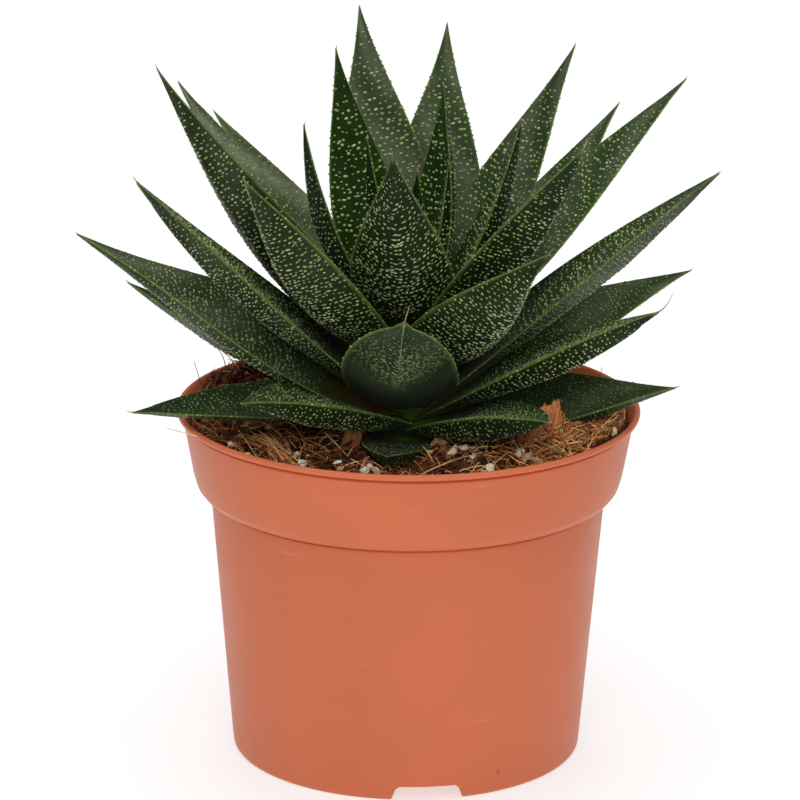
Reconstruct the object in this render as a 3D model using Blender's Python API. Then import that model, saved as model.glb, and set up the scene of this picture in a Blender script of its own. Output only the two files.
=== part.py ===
"""Potted gasteria: a rosette of thick keeled leaves in a plastic nursery pot.

Sizes are in millimetres and angles in degrees, and mesh_object() scales them to metres.
+Z is up, the origin is the middle of the pot's underside, and -Y is the front.
"""

import math
import random
from collections import namedtuple

import bmesh
import bpy
from mathutils import Matrix, Vector, noise
from mathutils.bvhtree import BVHTree

MM = 0.001
CLEARANCE = 0.3

# Pot
POT_HEIGHT = 92.0
POT_SEGMENTS = 48
RIM_RADIUS = 60.0
RIM_INNER_RADIUS = 57.2
LIP_THICKNESS = 1.6
COLLAR_TOP_RADIUS = 58.4
COLLAR_FOOT_RADIUS = 55.7
COLLAR_FOOT_Z = 75.2
BODY_TOP_RADIUS = 51.2
BODY_TOP_Z = 69.4
BODY_FOOT_RADIUS = 45.6
FOOT_RADIUS = 44.6
FOOT_INNER_RADIUS = 43.3
WALL = 1.2
FLOOR_BOTTOM = 4.6
FLOOR_TOP = 5.9
CENTRE_FOOT_RADIUS = 6.0
NOTCH_COUNT = 3
NOTCH_TURN = 7.0
NOTCH_TOP_HALF_WIDTH = 7.0
NOTCH_FOOT_HALF_WIDTH = 9.5
NOTCH_HEIGHT = 3.4
HOLE_COUNT = 6
HOLE_RADIUS = 3.5
HOLE_CIRCLE_RADIUS = 33.0
HOLE_TURN = 34.0

# Stem
STEM_FOOT_Z = 66.0
STEM_FOOT_RADIUS = 5.0
STEM_SHOULDER_Z = 88.0
STEM_SHOULDER_RADIUS = 9.5
STEM_TOP_Z = 113.0
STEM_TOP_RADIUS = 2.0
STEM_SIDES = 16

# Soil and what lies in it
SOIL_SEED = 11
SOIL_SPOKES = 32
SOIL_EDGE_Z = 84.8
SOIL_MOUND = 2.2
SOIL_ROUGHNESS = 1.1
SOIL_RING_RADII = (52.2, 47.6, 42.8, 37.8, 32.6, 27.2, 21.6, 15.8)
LEAF_PRESS_GAP = 0.9
HEAP_PLACE = (-41.0, 26.0)
HEAP_HEIGHT = 8.0
HEAP_RADIUS = 10.0
LUMP_JITTER = 0.18
PERLITE_COUNT = 20
PERLITE_REACH = (16.0, 52.5)
PERLITE_SIZE = (1.8, 3.2)
PERLITE_FLATNESS = 0.9
CHIP_COUNT = 10
CHIP_REACH = (18.0, 50.0)
CHIP_LENGTH = (4.5, 7.5)
CHIP_WIDTH_SHARE = 0.55
CHIP_DEPTH_SHARE = 0.4
FIBRE_COUNT = 12
FIBRE_REACH = (20.0, 51.0)
FIBRE_SPAN = (7.0, 15.0)
FIBRE_RISE = (1.0, 2.4)
FIBRE_SINK = 1.0
FIBRE_BOW = 0.2
FIBRE_STEPS = 4
FIBRE_RADIUS = 0.42
HUSK_PLACE = (34.0, -24.0)
HUSK_SIZE = (11.0, 4.0, 15.0)
HUSK_TURN = 25.0
HUSK_LEAN_BACK = -24.0
HUSK_LEAN_RIGHT = 18.0
HUSK_DEPTH = 3.0
HUSK_NARROWING = 0.45
HUSK_JITTER = 0.12

# Leaf form, as shares of a leaf's length or of its half width
WIDEST_AT = 0.38
ROUND_END = 0.96
KEEL_AT_BASE = 0.4
KEEL_FULL_AT = 0.65
KEEL_TAPER = 0.8
CHANNEL_SHARE = 0.20
EDGE_HALF_THICKNESS = 0.55
TIP_HALF_THICKNESS = 0.33
STATION_PITCH = 9.0
FEWEST_STATIONS = 7
BODY_END = 0.90
LAST_STATION = 0.955
UPPER_PLACES = (-1.0, -0.4, 0.4, 1.0)
LOWER_PLACES = (1.0, 0.55, 0.0, -0.55, -1.0)
TUBERCLE_HEIGHT = 0.4
SMOOTH_BASE = 0.2
TOOTH = 0.04

# turn: the way the leaf points, 0 to the front and 90 to the right
# rise: its slope where it leaves the stem, and curl: the slope gained by its tip
# root: the height it leaves the stem at; roll: the turn about its own length
# keel: how far the keel lies from the middle of the underside, as a share of the half width
# blunt: 0 for a long drawn-out tip, 1 for a round one
# sway and twist: the turn and roll gained by its tip
# depth: how deep the keel is, and base: how wide the leaf starts, as shares of the half width
Leaf = namedtuple(
    "Leaf",
    "name turn rise curl root length width roll keel blunt sway twist depth base",
    defaults=(0, 0, 0.72, 0.5),
)
LEAVES = (
    Leaf("leaf_front_lowest", -7, 7, 4, 85.0, 46, 19, 0, 0.0, 0.3, 0, 0, 0.8, 0.7),
    Leaf("leaf_rear_lowest", 175, 10, 4, 89.0, 80, 22, 0, 0.2, 0.1),
    Leaf("leaf_left_lowest", -71, 9, -12, 92.9, 75, 24, -6, 0.2, 0.3, 0, -5, 0.6, 0.6),
    Leaf("leaf_right_lowest", 73, 9, 3, 90.7, 73, 25, 19, 0.0, 0.0, -2, 9, 0.87, 0.6),
    Leaf("leaf_rear_left_lowest", -147, 9, 5, 91.0, 80, 22, 0, -0.2, 0.1),
    Leaf("leaf_rear_right_lowest", 144, 11, 4, 92.0, 80, 22, 0, 0.2, 0.1),
    Leaf("leaf_front_left_low", -42, 26, -20, 89.1, 73, 27, -12, -0.4, 0.2, 10, 10, 0.62, 0.9),
    Leaf("leaf_front_right_low", 42, 23, -17, 87.3, 65, 24, 12, 0.4, 0.6, -15, -19, 0.64, 0.7),
    Leaf("leaf_rear_right_low", 158, 20, 4, 93.5, 84, 23, 0, 0.2, 0.1),
    Leaf("leaf_left_low_far", -113, 9, 12, 94.0, 84, 23, 0, 0.2, 0.1),
    Leaf("leaf_right_low_far", 110, 24, -9, 93.3, 84, 24, 20, -0.2, 0.1, 0, 5, 0.6, 0.5),
    Leaf("leaf_rear_left_low", -168, 19, 4, 94.5, 84, 23, 0, -0.2, 0.1),
    Leaf("leaf_right_low", 62, 32, -9, 90.4, 82, 22, 19, 0.1, 0.5, -4, -18, 0.75, 0.7),
    Leaf("leaf_right_middle", 82, 45, -9, 90.4, 105, 27, 9, -0.4, 0.2, -3, -1, 0.72, 0.6),
    Leaf("leaf_front_middle", -8, 29, 6, 93.6, 74, 29, 5, 0.0, 1.0, 14, -12, 0.62, 0.8),
    Leaf("leaf_rear_right_middle", 141, 33, 1, 97.0, 107, 23, 0, 0.2, 0.1),
    Leaf("leaf_rear_middle", -176, 34, 4, 97.5, 86, 24, 0, 0.2, 0.1),
    Leaf("leaf_left_middle", -72, 30, 1, 93.0, 103, 30, -37, -0.4, 0.0, 1, 26, 0.47, 0.6),
    Leaf("leaf_left_front_middle", -62, 41, 2, 91.4, 104, 26, -20, 0.1, 0.3, -1, 10, 0.65, 0.7),
    Leaf("leaf_rear_left_middle", -139, 38, -6, 99.0, 98, 24, 0, -0.2, 0.1),
    Leaf("leaf_front_right_middle", 35, 42, -7, 100.1, 73, 26, -9, -0.2, 0.0, 5, -12, 0.79, 0.6),
    Leaf("leaf_back_tall", 165, 51, 7, 101.1, 98, 28, 4, 0.1, 0.0, 11, 1, 0.6, 0.5),
    Leaf("leaf_left_tall", -69, 45, 15, 98.8, 111, 22, 35, 0.1, 0.1, -5, 0, 0.63, 0.5),
    Leaf("leaf_front_left_tall", -45, 43, 5, 101.6, 87, 29, -15, 0.1, 0.2, 5, 19, 0.71, 0.6),
    Leaf("leaf_right_tall", 116, 42, 0, 102.3, 105, 26, 9, -0.2, 0.2, -7, -2, 0.5, 0.5),
    Leaf("leaf_rear_left_tall", -108, 41, 12, 104.1, 94, 25, 2, 0.2, 0.3, -3, -5, 0.6, 0.5),
    Leaf("leaf_back_right_tall", 128, 51, 5, 105.5, 93, 24, 3, -0.2, 0.0, 2, 4, 0.5, 0.5),
    Leaf("leaf_back_left_tall", -160, 61, -2, 106.6, 94, 26, -15, -0.1, 0.0, -6, -2, 0.6, 0.5),
    Leaf("leaf_front_right_tall", 54, 52, -5, 105.8, 83, 26, 8, -0.2, 0.2, -2, -6, 0.74, 0.5),
    Leaf("leaf_front_upright", -6, 50, 10, 108.0, 76, 26, 0, 0.0, 0.1),
    Leaf("leaf_right_slender", 90, 56, 18, 108.1, 67, 17, 4, 0.2, 0.1, 1, 2, 0.7, 0.5),
    Leaf("leaf_back_left_upright", -137, 58, 21, 109.0, 79, 20, -16, 0.2, 0.0, -1, -2, 0.6, 0.5),
    Leaf("leaf_left_slender", -77, 52, 28, 106.1, 69, 18, -3, 0.2, 0.0, -1, -2, 0.65, 0.5),
    Leaf("leaf_back_upright", 135, 72, 15, 109.8, 67, 17, -10, 0.2, 0.0, 3, 2, 0.7, 0.5),
    Leaf("leaf_heart_left", -75, 74, 8, 110.5, 55, 11, 0, 0.1, 0.0),
    Leaf("leaf_heart_right", 100, 73, 9, 111.5, 46, 11, 0, 0.1, 0.0),
    Leaf("leaf_heart_front", 15, 80, 3, 112.0, 45, 11, 0, 0.1, 0.0),
)


def clear_scene():
    for obj in list(bpy.data.objects):
        bpy.data.objects.remove(obj, do_unlink=True)


def material(name, colour, roughness):
    made = bpy.data.materials.new(name)
    made.use_nodes = True
    shader = made.node_tree.nodes["Principled BSDF"]
    shader.inputs["Base Color"].default_value = (*colour, 1.0)
    shader.inputs["Roughness"].default_value = roughness
    shader.inputs["Metallic"].default_value = 0.0
    made.diffuse_color = (*colour, 1.0)
    return made


def mesh_object(name, points, faces, surface=None, smooth_angle=None):
    mesh = bpy.data.meshes.new(name)
    mesh.from_pydata([Vector(p) * MM for p in points], [], faces)
    obj = bpy.data.objects.new(name, mesh)
    bpy.context.scene.collection.objects.link(obj)
    finish_mesh(obj, surface, smooth_angle)
    return obj


def finish_mesh(obj, surface, smooth_angle):
    mesh = obj.data
    if surface:
        mesh.materials.clear()
        mesh.materials.append(surface)
    if smooth_angle:
        mesh.shade_smooth()
        mesh.set_sharp_from_angle(angle=math.radians(smooth_angle))


def boolean(obj, operation, other=None, group=None):
    """Apply a Boolean to obj, with one other object or with every object of a collection."""
    modifier = obj.modifiers.new("cut", "BOOLEAN")
    modifier.operation = operation
    modifier.solver = "EXACT"
    if group:
        modifier.operand_type = "COLLECTION"
        modifier.collection = group
    else:
        modifier.object = other
    graph = bpy.context.evaluated_depsgraph_get()
    result = bpy.data.meshes.new_from_object(obj.evaluated_get(graph))
    obj.modifiers.remove(modifier)
    obj.data = result


def discard(objects):
    for obj in list(objects):
        bpy.data.objects.remove(obj, do_unlink=True)


def largest_body(obj):
    """Keep only the largest closed body, with its shortest edges collapsed where that keeps it closed."""
    for shortest in (0.02, 0.0):
        work = bmesh.new()
        work.from_mesh(obj.data)
        bmesh.ops.triangulate(work, faces=work.faces[:])
        if shortest:
            bmesh.ops.dissolve_degenerate(work, dist=shortest * MM, edges=work.edges[:])
            bmesh.ops.triangulate(work, faces=work.faces[:])
        bodies = sorted(bodies_of(work), key=body_volume, reverse=True)
        for body in bodies[1:]:
            bmesh.ops.delete(work, geom=body, context="VERTS")
        closed = all(len(edge.link_faces) == 2 for edge in work.edges)
        if closed or not shortest:
            work.to_mesh(obj.data)
            work.free()
            return
        work.free()


def bodies_of(work):
    """The points of each connected body of a mesh."""
    seen, bodies = set(), []
    for start in work.verts:
        if start in seen:
            continue
        seen.add(start)
        body, queue = [], [start]
        while queue:
            point = queue.pop()
            body.append(point)
            for edge in point.link_edges:
                other = edge.other_vert(point)
                if other not in seen:
                    seen.add(other)
                    queue.append(other)
        bodies.append(body)
    return bodies


def body_volume(points):
    faces = {face for point in points for face in point.link_faces}
    total = 0.0
    for face in faces:
        a, b, c = (v.co for v in face.verts[:3])
        total += a.dot(b.cross(c)) / 6.0
    return abs(total)


def turned_shape(profile, segments):
    """(points, faces) of a closed profile of (radius, height) turned about Z; radius 0 closes an end."""
    points, rings = [], []
    for radius, height in profile:
        if radius == 0.0:
            rings.append([len(points)] * segments)
            points.append(Vector((0.0, 0.0, height)))
            continue
        rings.append(list(range(len(points), len(points) + segments)))
        for i in range(segments):
            angle = 2 * math.pi * i / segments
            points.append(Vector((radius * math.cos(angle), radius * math.sin(angle), height)))
    faces = []
    for low, high in zip(rings, rings[1:]):
        for i in range(segments):
            j = (i + 1) % segments
            corners = []
            for corner in (low[i], low[j], high[j], high[i]):
                if corner not in corners:
                    corners.append(corner)
            faces.append(tuple(corners))
    return points, faces


def pot_profile():
    """From the middle of the underside, out over the foot, up the outside and back down inside."""
    outside = [
        (0.0, 0.0),
        (CENTRE_FOOT_RADIUS, 0.0),
        (CENTRE_FOOT_RADIUS + 0.8, FLOOR_BOTTOM),
        (FOOT_INNER_RADIUS - 0.6, FLOOR_BOTTOM),
        (FOOT_INNER_RADIUS, 0.0),
        (FOOT_RADIUS, 0.0),
        (FOOT_RADIUS + 0.7, 1.0),
        (BODY_FOOT_RADIUS, 4.0),
        (BODY_TOP_RADIUS - 0.1, BODY_TOP_Z - 0.7),
        (BODY_TOP_RADIUS + 0.4, BODY_TOP_Z),
        (BODY_TOP_RADIUS + 2.0, BODY_TOP_Z + 0.8),
        (COLLAR_FOOT_RADIUS - 0.9, COLLAR_FOOT_Z - 3.2),
        (COLLAR_FOOT_RADIUS, COLLAR_FOOT_Z),
        (COLLAR_TOP_RADIUS, POT_HEIGHT - LIP_THICKNESS - 0.1),
        (RIM_RADIUS - 0.2, POT_HEIGHT - LIP_THICKNESS + 0.1),
        (RIM_RADIUS, POT_HEIGHT - 0.6),
        (RIM_RADIUS - 0.5, POT_HEIGHT),
        (RIM_INNER_RADIUS + 0.5, POT_HEIGHT),
        (RIM_INNER_RADIUS, POT_HEIGHT - 0.6),
    ]
    return outside + pot_inside() + [(0.0, FLOOR_TOP)]


def pot_inside():
    """The inner wall from just below the rim down to the floor."""
    return [
        (COLLAR_TOP_RADIUS - WALL - 0.1, POT_HEIGHT - 2.6),
        (COLLAR_FOOT_RADIUS - WALL, COLLAR_FOOT_Z + 0.2),
        (COLLAR_FOOT_RADIUS - WALL - 1.0, COLLAR_FOOT_Z - 2.4),
        (BODY_TOP_RADIUS + 0.4, BODY_TOP_Z + 1.9),
        (BODY_TOP_RADIUS - WALL, BODY_TOP_Z + 0.4),
        (BODY_FOOT_RADIUS - WALL, FLOOR_TOP + 1.6),
        (BODY_FOOT_RADIUS - WALL - 1.2, FLOOR_TOP),
    ]


def make_pot(surface):
    points, faces = turned_shape(pot_profile(), POT_SEGMENTS)
    pot = mesh_object("pot", points, faces)
    cutters = []
    for i in range(NOTCH_COUNT):
        cutters.append(notch_cutter(NOTCH_TURN + 360.0 * i / NOTCH_COUNT))
    for i in range(HOLE_COUNT):
        cutters.append(hole_cutter(HOLE_TURN + 360.0 * i / HOLE_COUNT))
    for cutter in cutters:
        boolean(pot, "DIFFERENCE", cutter)
    discard(cutters)
    largest_body(pot)
    finish_mesh(pot, surface, 40.0)
    return pot


def notch_cutter(turn):
    """A block with rounded upper corners that opens the foot ring down to the ground."""
    outline = [
        (NOTCH_FOOT_HALF_WIDTH + 0.4, -1.0),
        (NOTCH_TOP_HALF_WIDTH + 1.1, 0.8),
        (NOTCH_TOP_HALF_WIDTH + 0.3, NOTCH_HEIGHT - 0.8),
        (NOTCH_TOP_HALF_WIDTH - 0.7, NOTCH_HEIGHT),
    ]
    outline += [(-across, up) for across, up in reversed(outline)]
    outward, side = direction(turn, 0.0), direction(turn + 90.0, 0.0)
    near, far = FOOT_INNER_RADIUS - 4.0, FOOT_RADIUS + 5.0
    points = []
    for distance in (near, far):
        for across, up in outline:
            points.append(outward * distance + side * across + Vector((0.0, 0.0, up)))
    return prism("notch", points, len(outline))


def hole_cutter(turn):
    centre = direction(turn, 0.0) * HOLE_CIRCLE_RADIUS
    points = []
    for height in (FLOOR_TOP + 1.0, FLOOR_BOTTOM - 1.0):
        for i in range(12):
            angle = 2 * math.pi * (i + 0.3) / 12
            offset = Vector((math.cos(angle), math.sin(angle), 0.0)) * HOLE_RADIUS
            points.append(centre + offset + Vector((0.0, 0.0, height)))
    return prism("drain_hole", points, 12)


def prism(name, points, count):
    """A closed cutter between two outlines of count points each."""
    faces = [tuple(range(count)), tuple(range(2 * count - 1, count - 1, -1))]
    faces += [(i, i + count, (i + 1) % count + count, (i + 1) % count) for i in range(count)]
    cutter = mesh_object(name, points, faces)
    work = bmesh.new()
    work.from_mesh(cutter.data)
    bmesh.ops.recalc_face_normals(work, faces=work.faces[:])
    work.to_mesh(cutter.data)
    work.free()
    cutter.hide_render = True
    cutter.display_type = "WIRE"
    return cutter


def stem_profile(grow=0.0):
    return [
        (0.0, STEM_FOOT_Z - grow),
        (STEM_FOOT_RADIUS + grow, STEM_FOOT_Z - grow),
        (STEM_SHOULDER_RADIUS + grow, STEM_SHOULDER_Z),
        (0.72 * STEM_SHOULDER_RADIUS + grow, 0.5 * (STEM_SHOULDER_Z + STEM_TOP_Z)),
        (STEM_TOP_RADIUS + grow, STEM_TOP_Z),
        (0.0, STEM_TOP_Z + 1.0 + grow),
    ]


def direction(turn, rise):
    """The unit vector that points turn degrees round from the front and rise above level."""
    turn, rise = math.radians(turn), math.radians(rise)
    level = Vector((math.sin(turn), -math.cos(turn), 0.0))
    return level * math.cos(rise) + Vector((0.0, 0.0, math.sin(rise)))


def half_width_share(leaf, along):
    """A leaf's half width at a share of its length: clasping base, full middle, drawn-out or beaked tip."""
    if along < WIDEST_AT:
        return 1.0 - (1.0 - leaf.base) * (1.0 - along / WIDEST_AT) ** 2
    left = max(0.0, (1.0 - along) / (1.0 - WIDEST_AT))
    pointed = 0.60 * left + 1.80 * left**2 - 1.40 * left**3
    left_of_round = max(0.0, (ROUND_END - along) / (ROUND_END - WIDEST_AT))
    rounded = max(pointed, math.sqrt(1.0 - (1.0 - left_of_round) ** 2))
    return pointed + (rounded - pointed) * leaf.blunt


def leaf_frames(leaf, stations):
    """Centre, side and upper normal of the leaf at each station along its length."""
    fine_steps = 60
    centre = Vector((0.0, 0.0, leaf.root))
    path = [centre.copy()]
    for step in range(fine_steps):
        along = (step + 0.5) / fine_steps
        heading = direction(leaf.turn + leaf.sway * along, leaf.rise + leaf.curl * along)
        centre = centre + heading * (leaf.length / fine_steps)
        path.append(centre.copy())
    frames = []
    for along in stations:
        place = along * fine_steps
        low = min(int(place), fine_steps - 1)
        middle = path[low].lerp(path[low + 1], place - low)
        heading = direction(leaf.turn + leaf.sway * along, leaf.rise + leaf.curl * along)
        level_side = direction(leaf.turn + leaf.sway * along - 90.0, 0.0)
        side = Matrix.Rotation(math.radians(leaf.roll + leaf.twist * along), 3, heading) @ level_side
        frames.append((middle, side, side.cross(heading)))
    return frames


def leaf_section(leaf, along, row, grow):
    """One closed ring of (sideways, upward) points, over the channelled top and back under the keel.

    A leaf that is grown, to cut room for it, is smooth and clears the relief and the teeth.
    """
    share = half_width_share(leaf, along)
    half_width = max(leaf.width / 2 * share, TIP_HALF_THICKNESS)
    fullness = KEEL_AT_BASE + (1.0 - KEEL_AT_BASE) * min(1.0, along / KEEL_FULL_AT)
    keel = leaf.depth * leaf.width / 2 * share**KEEL_TAPER * fullness
    channel = CHANNEL_SHARE * half_width * (1.0 - along)
    edge = min(EDGE_HALF_THICKNESS, TIP_HALF_THICKNESS + 0.05 * half_width)
    roundness = 2.2 - 1.1 * along
    offset = leaf.keel * min(1.0, along / WIDEST_AT)
    wart = 0.0 if grow or along < SMOOTH_BASE else TUBERCLE_HEIGHT * share
    tooth = TOOTH * (1 if grow else row % 2)
    ring = []
    for column, place in enumerate(UPPER_PLACES + LOWER_PLACES):
        on_edge = abs(place) == 1.0
        raised = 0.0 if on_edge else wart * ((row + column) % 2)
        reach = half_width * (1.0 + (tooth if on_edge else 0.0)) + grow
        if column < len(UPPER_PLACES):
            ring.append((place * reach, edge - channel * (1 - place**2) + raised + grow))
        else:
            belly = keel * (1.0 - abs(place) ** roundness)
            shifted = place + offset * (1 - place**2)
            ring.append((shifted * reach, -edge - belly - raised - grow))
    return ring


def leaf_stations(leaf):
    count = max(FEWEST_STATIONS, round(leaf.length / STATION_PITCH))
    return [BODY_END * i / (count - 2) for i in range(count - 1)] + [LAST_STATION]


def leaf_shape(leaf, grow=0.0):
    """(points, faces) of one leaf, from inside the stem to its point."""
    stations = leaf_stations(leaf)
    frames = leaf_frames(leaf, stations + [1.0])
    points = []
    for row, (along, (middle, side, normal)) in enumerate(zip(stations, frames)):
        for sideways, upward in leaf_section(leaf, along, row, grow):
            points.append(middle + side * sideways + normal * upward)
    around = len(UPPER_PLACES) + len(LOWER_PLACES)
    faces = [tuple(range(around - 1, -1, -1))]
    for row in range(len(stations) - 1):
        low, high = row * around, (row + 1) * around
        for i in range(around):
            j = (i + 1) % around
            faces.append((low + i, low + j, high + j))
            faces.append((low + i, high + j, high + i))
    last = (len(stations) - 1) * around
    tip = len(points)
    heading = (frames[-1][0] - frames[-2][0]).normalized()
    points.append(frames[-1][0] + heading * grow)
    faces += [(last + i, last + (i + 1) % around, tip) for i in range(around)]
    return points, faces


def tree_of(shape):
    return BVHTree.FromPolygons(shape[0], shape[1])


def make_leaves(surface):
    """Each leaf clasps the ones inside it: it is cut back to clear them and the stem."""
    stem_cutter = mesh_object("stem_clearance", *turned_shape(stem_profile(CLEARANCE), STEM_SIDES))
    cutters, trees = [stem_cutter], []
    for leaf in LEAVES:
        grown = leaf_shape(leaf, CLEARANCE + TUBERCLE_HEIGHT)
        cutters.append(mesh_object(leaf.name + "_clearance", *grown))
        trees.append(tree_of(grown))
    made = []
    for i, leaf in enumerate(LEAVES):
        points, faces = leaf_shape(leaf)
        obj = mesh_object(leaf.name, points, faces)
        boolean(obj, "DIFFERENCE", stem_cutter)
        own_tree = tree_of((points, faces))
        for j in range(i + 1, len(LEAVES)):
            if own_tree.overlap(trees[j]):
                boolean(obj, "DIFFERENCE", cutters[j + 1])
        largest_body(obj)
        finish_mesh(obj, surface, 50.0)
        made.append(obj)
    return made, cutters


def soil_height(x, y):
    """Height of the soil's surface: a low mound, a heap of coir at the left rear, and rough all over."""
    reach = math.hypot(x, y) / RIM_INNER_RADIUS
    heap = math.hypot(x - HEAP_PLACE[0], y - HEAP_PLACE[1]) / HEAP_RADIUS
    height = SOIL_EDGE_Z + SOIL_MOUND * (1.0 - reach**2) + HEAP_HEIGHT * math.exp(-(heap**2))
    rough = noise.noise(Vector((x, y, 0.0)) / 6.0) + 0.6 * noise.noise(Vector((x, y, 30.0)) / 2.7)
    return height + SOIL_ROUGHNESS * rough


def pressed_height(x, y, trees):
    """The soil's height, lowered where a leaf lies on it."""
    height = soil_height(x, y)
    foot = Vector((x, y, height - 14.0))
    for tree in trees:
        hit = tree.ray_cast(foot, Vector((0.0, 0.0, 1.0)), 30.0)[0]
        if hit:
            height = min(height, hit.z - LEAF_PRESS_GAP)
    return height


def soil_shape(trees):
    """(points, faces) of the soil: up the pot's wall, in over the rough top, and down the stem's hole."""
    side = [(radius - CLEARANCE, height + CLEARANCE) for radius, height in reversed(pot_inside()[1:])]
    slope = (RIM_INNER_RADIUS - COLLAR_FOOT_RADIUS + WALL) / (POT_HEIGHT - COLLAR_FOOT_Z)
    edge_radius = COLLAR_FOOT_RADIUS - WALL + slope * (SOIL_EDGE_Z - COLLAR_FOOT_Z) - 2 * CLEARANCE
    hole_slope = (STEM_SHOULDER_RADIUS - STEM_FOOT_RADIUS) / (STEM_SHOULDER_Z - STEM_FOOT_Z)
    mouth_z = SOIL_EDGE_Z + SOIL_MOUND - 1.0
    mouth_radius = STEM_FOOT_RADIUS + hole_slope * (mouth_z - STEM_FOOT_Z) + 3 * CLEARANCE
    top = [(edge_radius, None)] + [(radius, None) for radius in SOIL_RING_RADII]
    hole = [(mouth_radius, mouth_z), (STEM_FOOT_RADIUS + 2 * CLEARANCE, STEM_FOOT_Z - CLEARANCE)]
    points, rings = [Vector((0.0, 0.0, side[0][1]))], []
    for radius, height in side + top + hole:
        rings.append(len(points))
        for i in range(SOIL_SPOKES):
            angle = 2 * math.pi * i / SOIL_SPOKES
            x, y = radius * math.cos(angle), radius * math.sin(angle)
            z = pressed_height(x, y, trees) if height is None else height
            points.append(Vector((x, y, z)))
    points.append(Vector((0.0, 0.0, STEM_FOOT_Z - CLEARANCE)))
    faces = []
    for i in range(SOIL_SPOKES):
        j = (i + 1) % SOIL_SPOKES
        faces.append((0, rings[0] + j, rings[0] + i))
        for low, high in zip(rings, rings[1:]):
            faces.append((low + i, low + j, high + j))
            faces.append((low + i, high + j, high + i))
        faces.append((rings[-1] + i, rings[-1] + j, len(points) - 1))
    return points, faces


def lump(name, centre, size, draw):
    """A rough grain with 20 faces, about size across its three axes."""
    work = bmesh.new()
    bmesh.ops.create_icosphere(work, subdivisions=1, radius=0.5)
    angle = draw.uniform(0.0, math.pi)
    turn = Matrix.Rotation(angle, 3, direction(draw.uniform(0, 360), draw.uniform(-60, 60)))
    for point in work.verts:
        jitter = 1.0 + draw.uniform(-LUMP_JITTER, LUMP_JITTER)
        point.co = (centre + turn @ Vector([point.co[k] * size[k] * jitter for k in range(3)])) * MM
    return linked(name, work)


def linked(name, work):
    bmesh.ops.recalc_face_normals(work, faces=work.faces[:])
    mesh = bpy.data.meshes.new(name)
    work.to_mesh(mesh)
    work.free()
    return bpy.data.objects.new(name, mesh)


def fibre(name, start, finish, rise, draw):
    """A three-sided strand of coir that arches from one place in the soil to another."""
    span = finish - start
    side = Vector((-span.y, span.x, 0.0)).normalized()
    bow = draw.uniform(-FIBRE_BOW, FIBRE_BOW) * span.length
    centres = []
    for k in range(FIBRE_STEPS + 1):
        along = k / FIBRE_STEPS
        arch = 4 * along * (1 - along)
        centres.append(start + span * along + side * bow * arch + Vector((0, 0, rise * arch)))
    work = bmesh.new()
    rings = []
    for k, centre in enumerate(centres):
        ahead = centres[min(k + 1, FIBRE_STEPS)] - centres[max(k - 1, 0)]
        across = ahead.cross(Vector((0, 0, 1))).normalized()
        up = across.cross(ahead).normalized()
        ring = []
        for n in range(3):
            angle = 2 * math.pi * (n + 0.5) / 3
            offset = (across * math.sin(angle) - up * math.cos(angle)) * FIBRE_RADIUS
            ring.append(work.verts.new((centre + offset) * MM))
        rings.append(ring)
    work.faces.new(rings[0])
    work.faces.new(list(reversed(rings[-1])))
    for low, high in zip(rings, rings[1:]):
        for n in range(3):
            m = (n + 1) % 3
            work.faces.new((low[n], high[n], high[m], low[m]))
    return linked(name, work)


def clear_of_leaves(place, distance, trees):
    return all(tree.find_nearest(place, distance)[0] is None for tree in trees)


def open_place(draw, radius_range, distance, trees):
    """A seeded place on the soil with no leaf within a distance of it."""
    while True:
        turn = draw.uniform(0.0, 360.0)
        reach = math.sqrt(draw.uniform(radius_range[0] ** 2, radius_range[1] ** 2))
        place = direction(turn, 0.0) * reach
        place.z = soil_height(place.x, place.y)
        if clear_of_leaves(place, distance, trees):
            return place


def husk(name):
    """A torn piece of coconut husk that stands in the soil at the right front."""
    draw = random.Random(SOIL_SEED)
    wide, thick, tall = HUSK_SIZE
    work = bmesh.new()
    bmesh.ops.create_cube(work, size=1.0)
    bmesh.ops.subdivide_edges(work, edges=work.edges[:], cuts=1, use_grid_fill=True)
    base = Vector((*HUSK_PLACE, SOIL_EDGE_Z - HUSK_DEPTH))
    spin = Matrix.Rotation(math.radians(HUSK_TURN), 3, "Z")
    lean_back = Matrix.Rotation(math.radians(HUSK_LEAN_BACK), 3, "X")
    lean_right = Matrix.Rotation(math.radians(HUSK_LEAN_RIGHT), 3, "Y")
    for point in work.verts:
        up = point.co.z + 0.5
        ragged = 1.0 + draw.uniform(-HUSK_JITTER, HUSK_JITTER)
        narrow = 1.0 - HUSK_NARROWING * up
        shape = Vector((point.co.x * wide * narrow, point.co.y * thick, up * tall)) * ragged
        point.co = (base + spin @ lean_back @ lean_right @ shape) * MM
    return linked(name, work)


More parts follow.
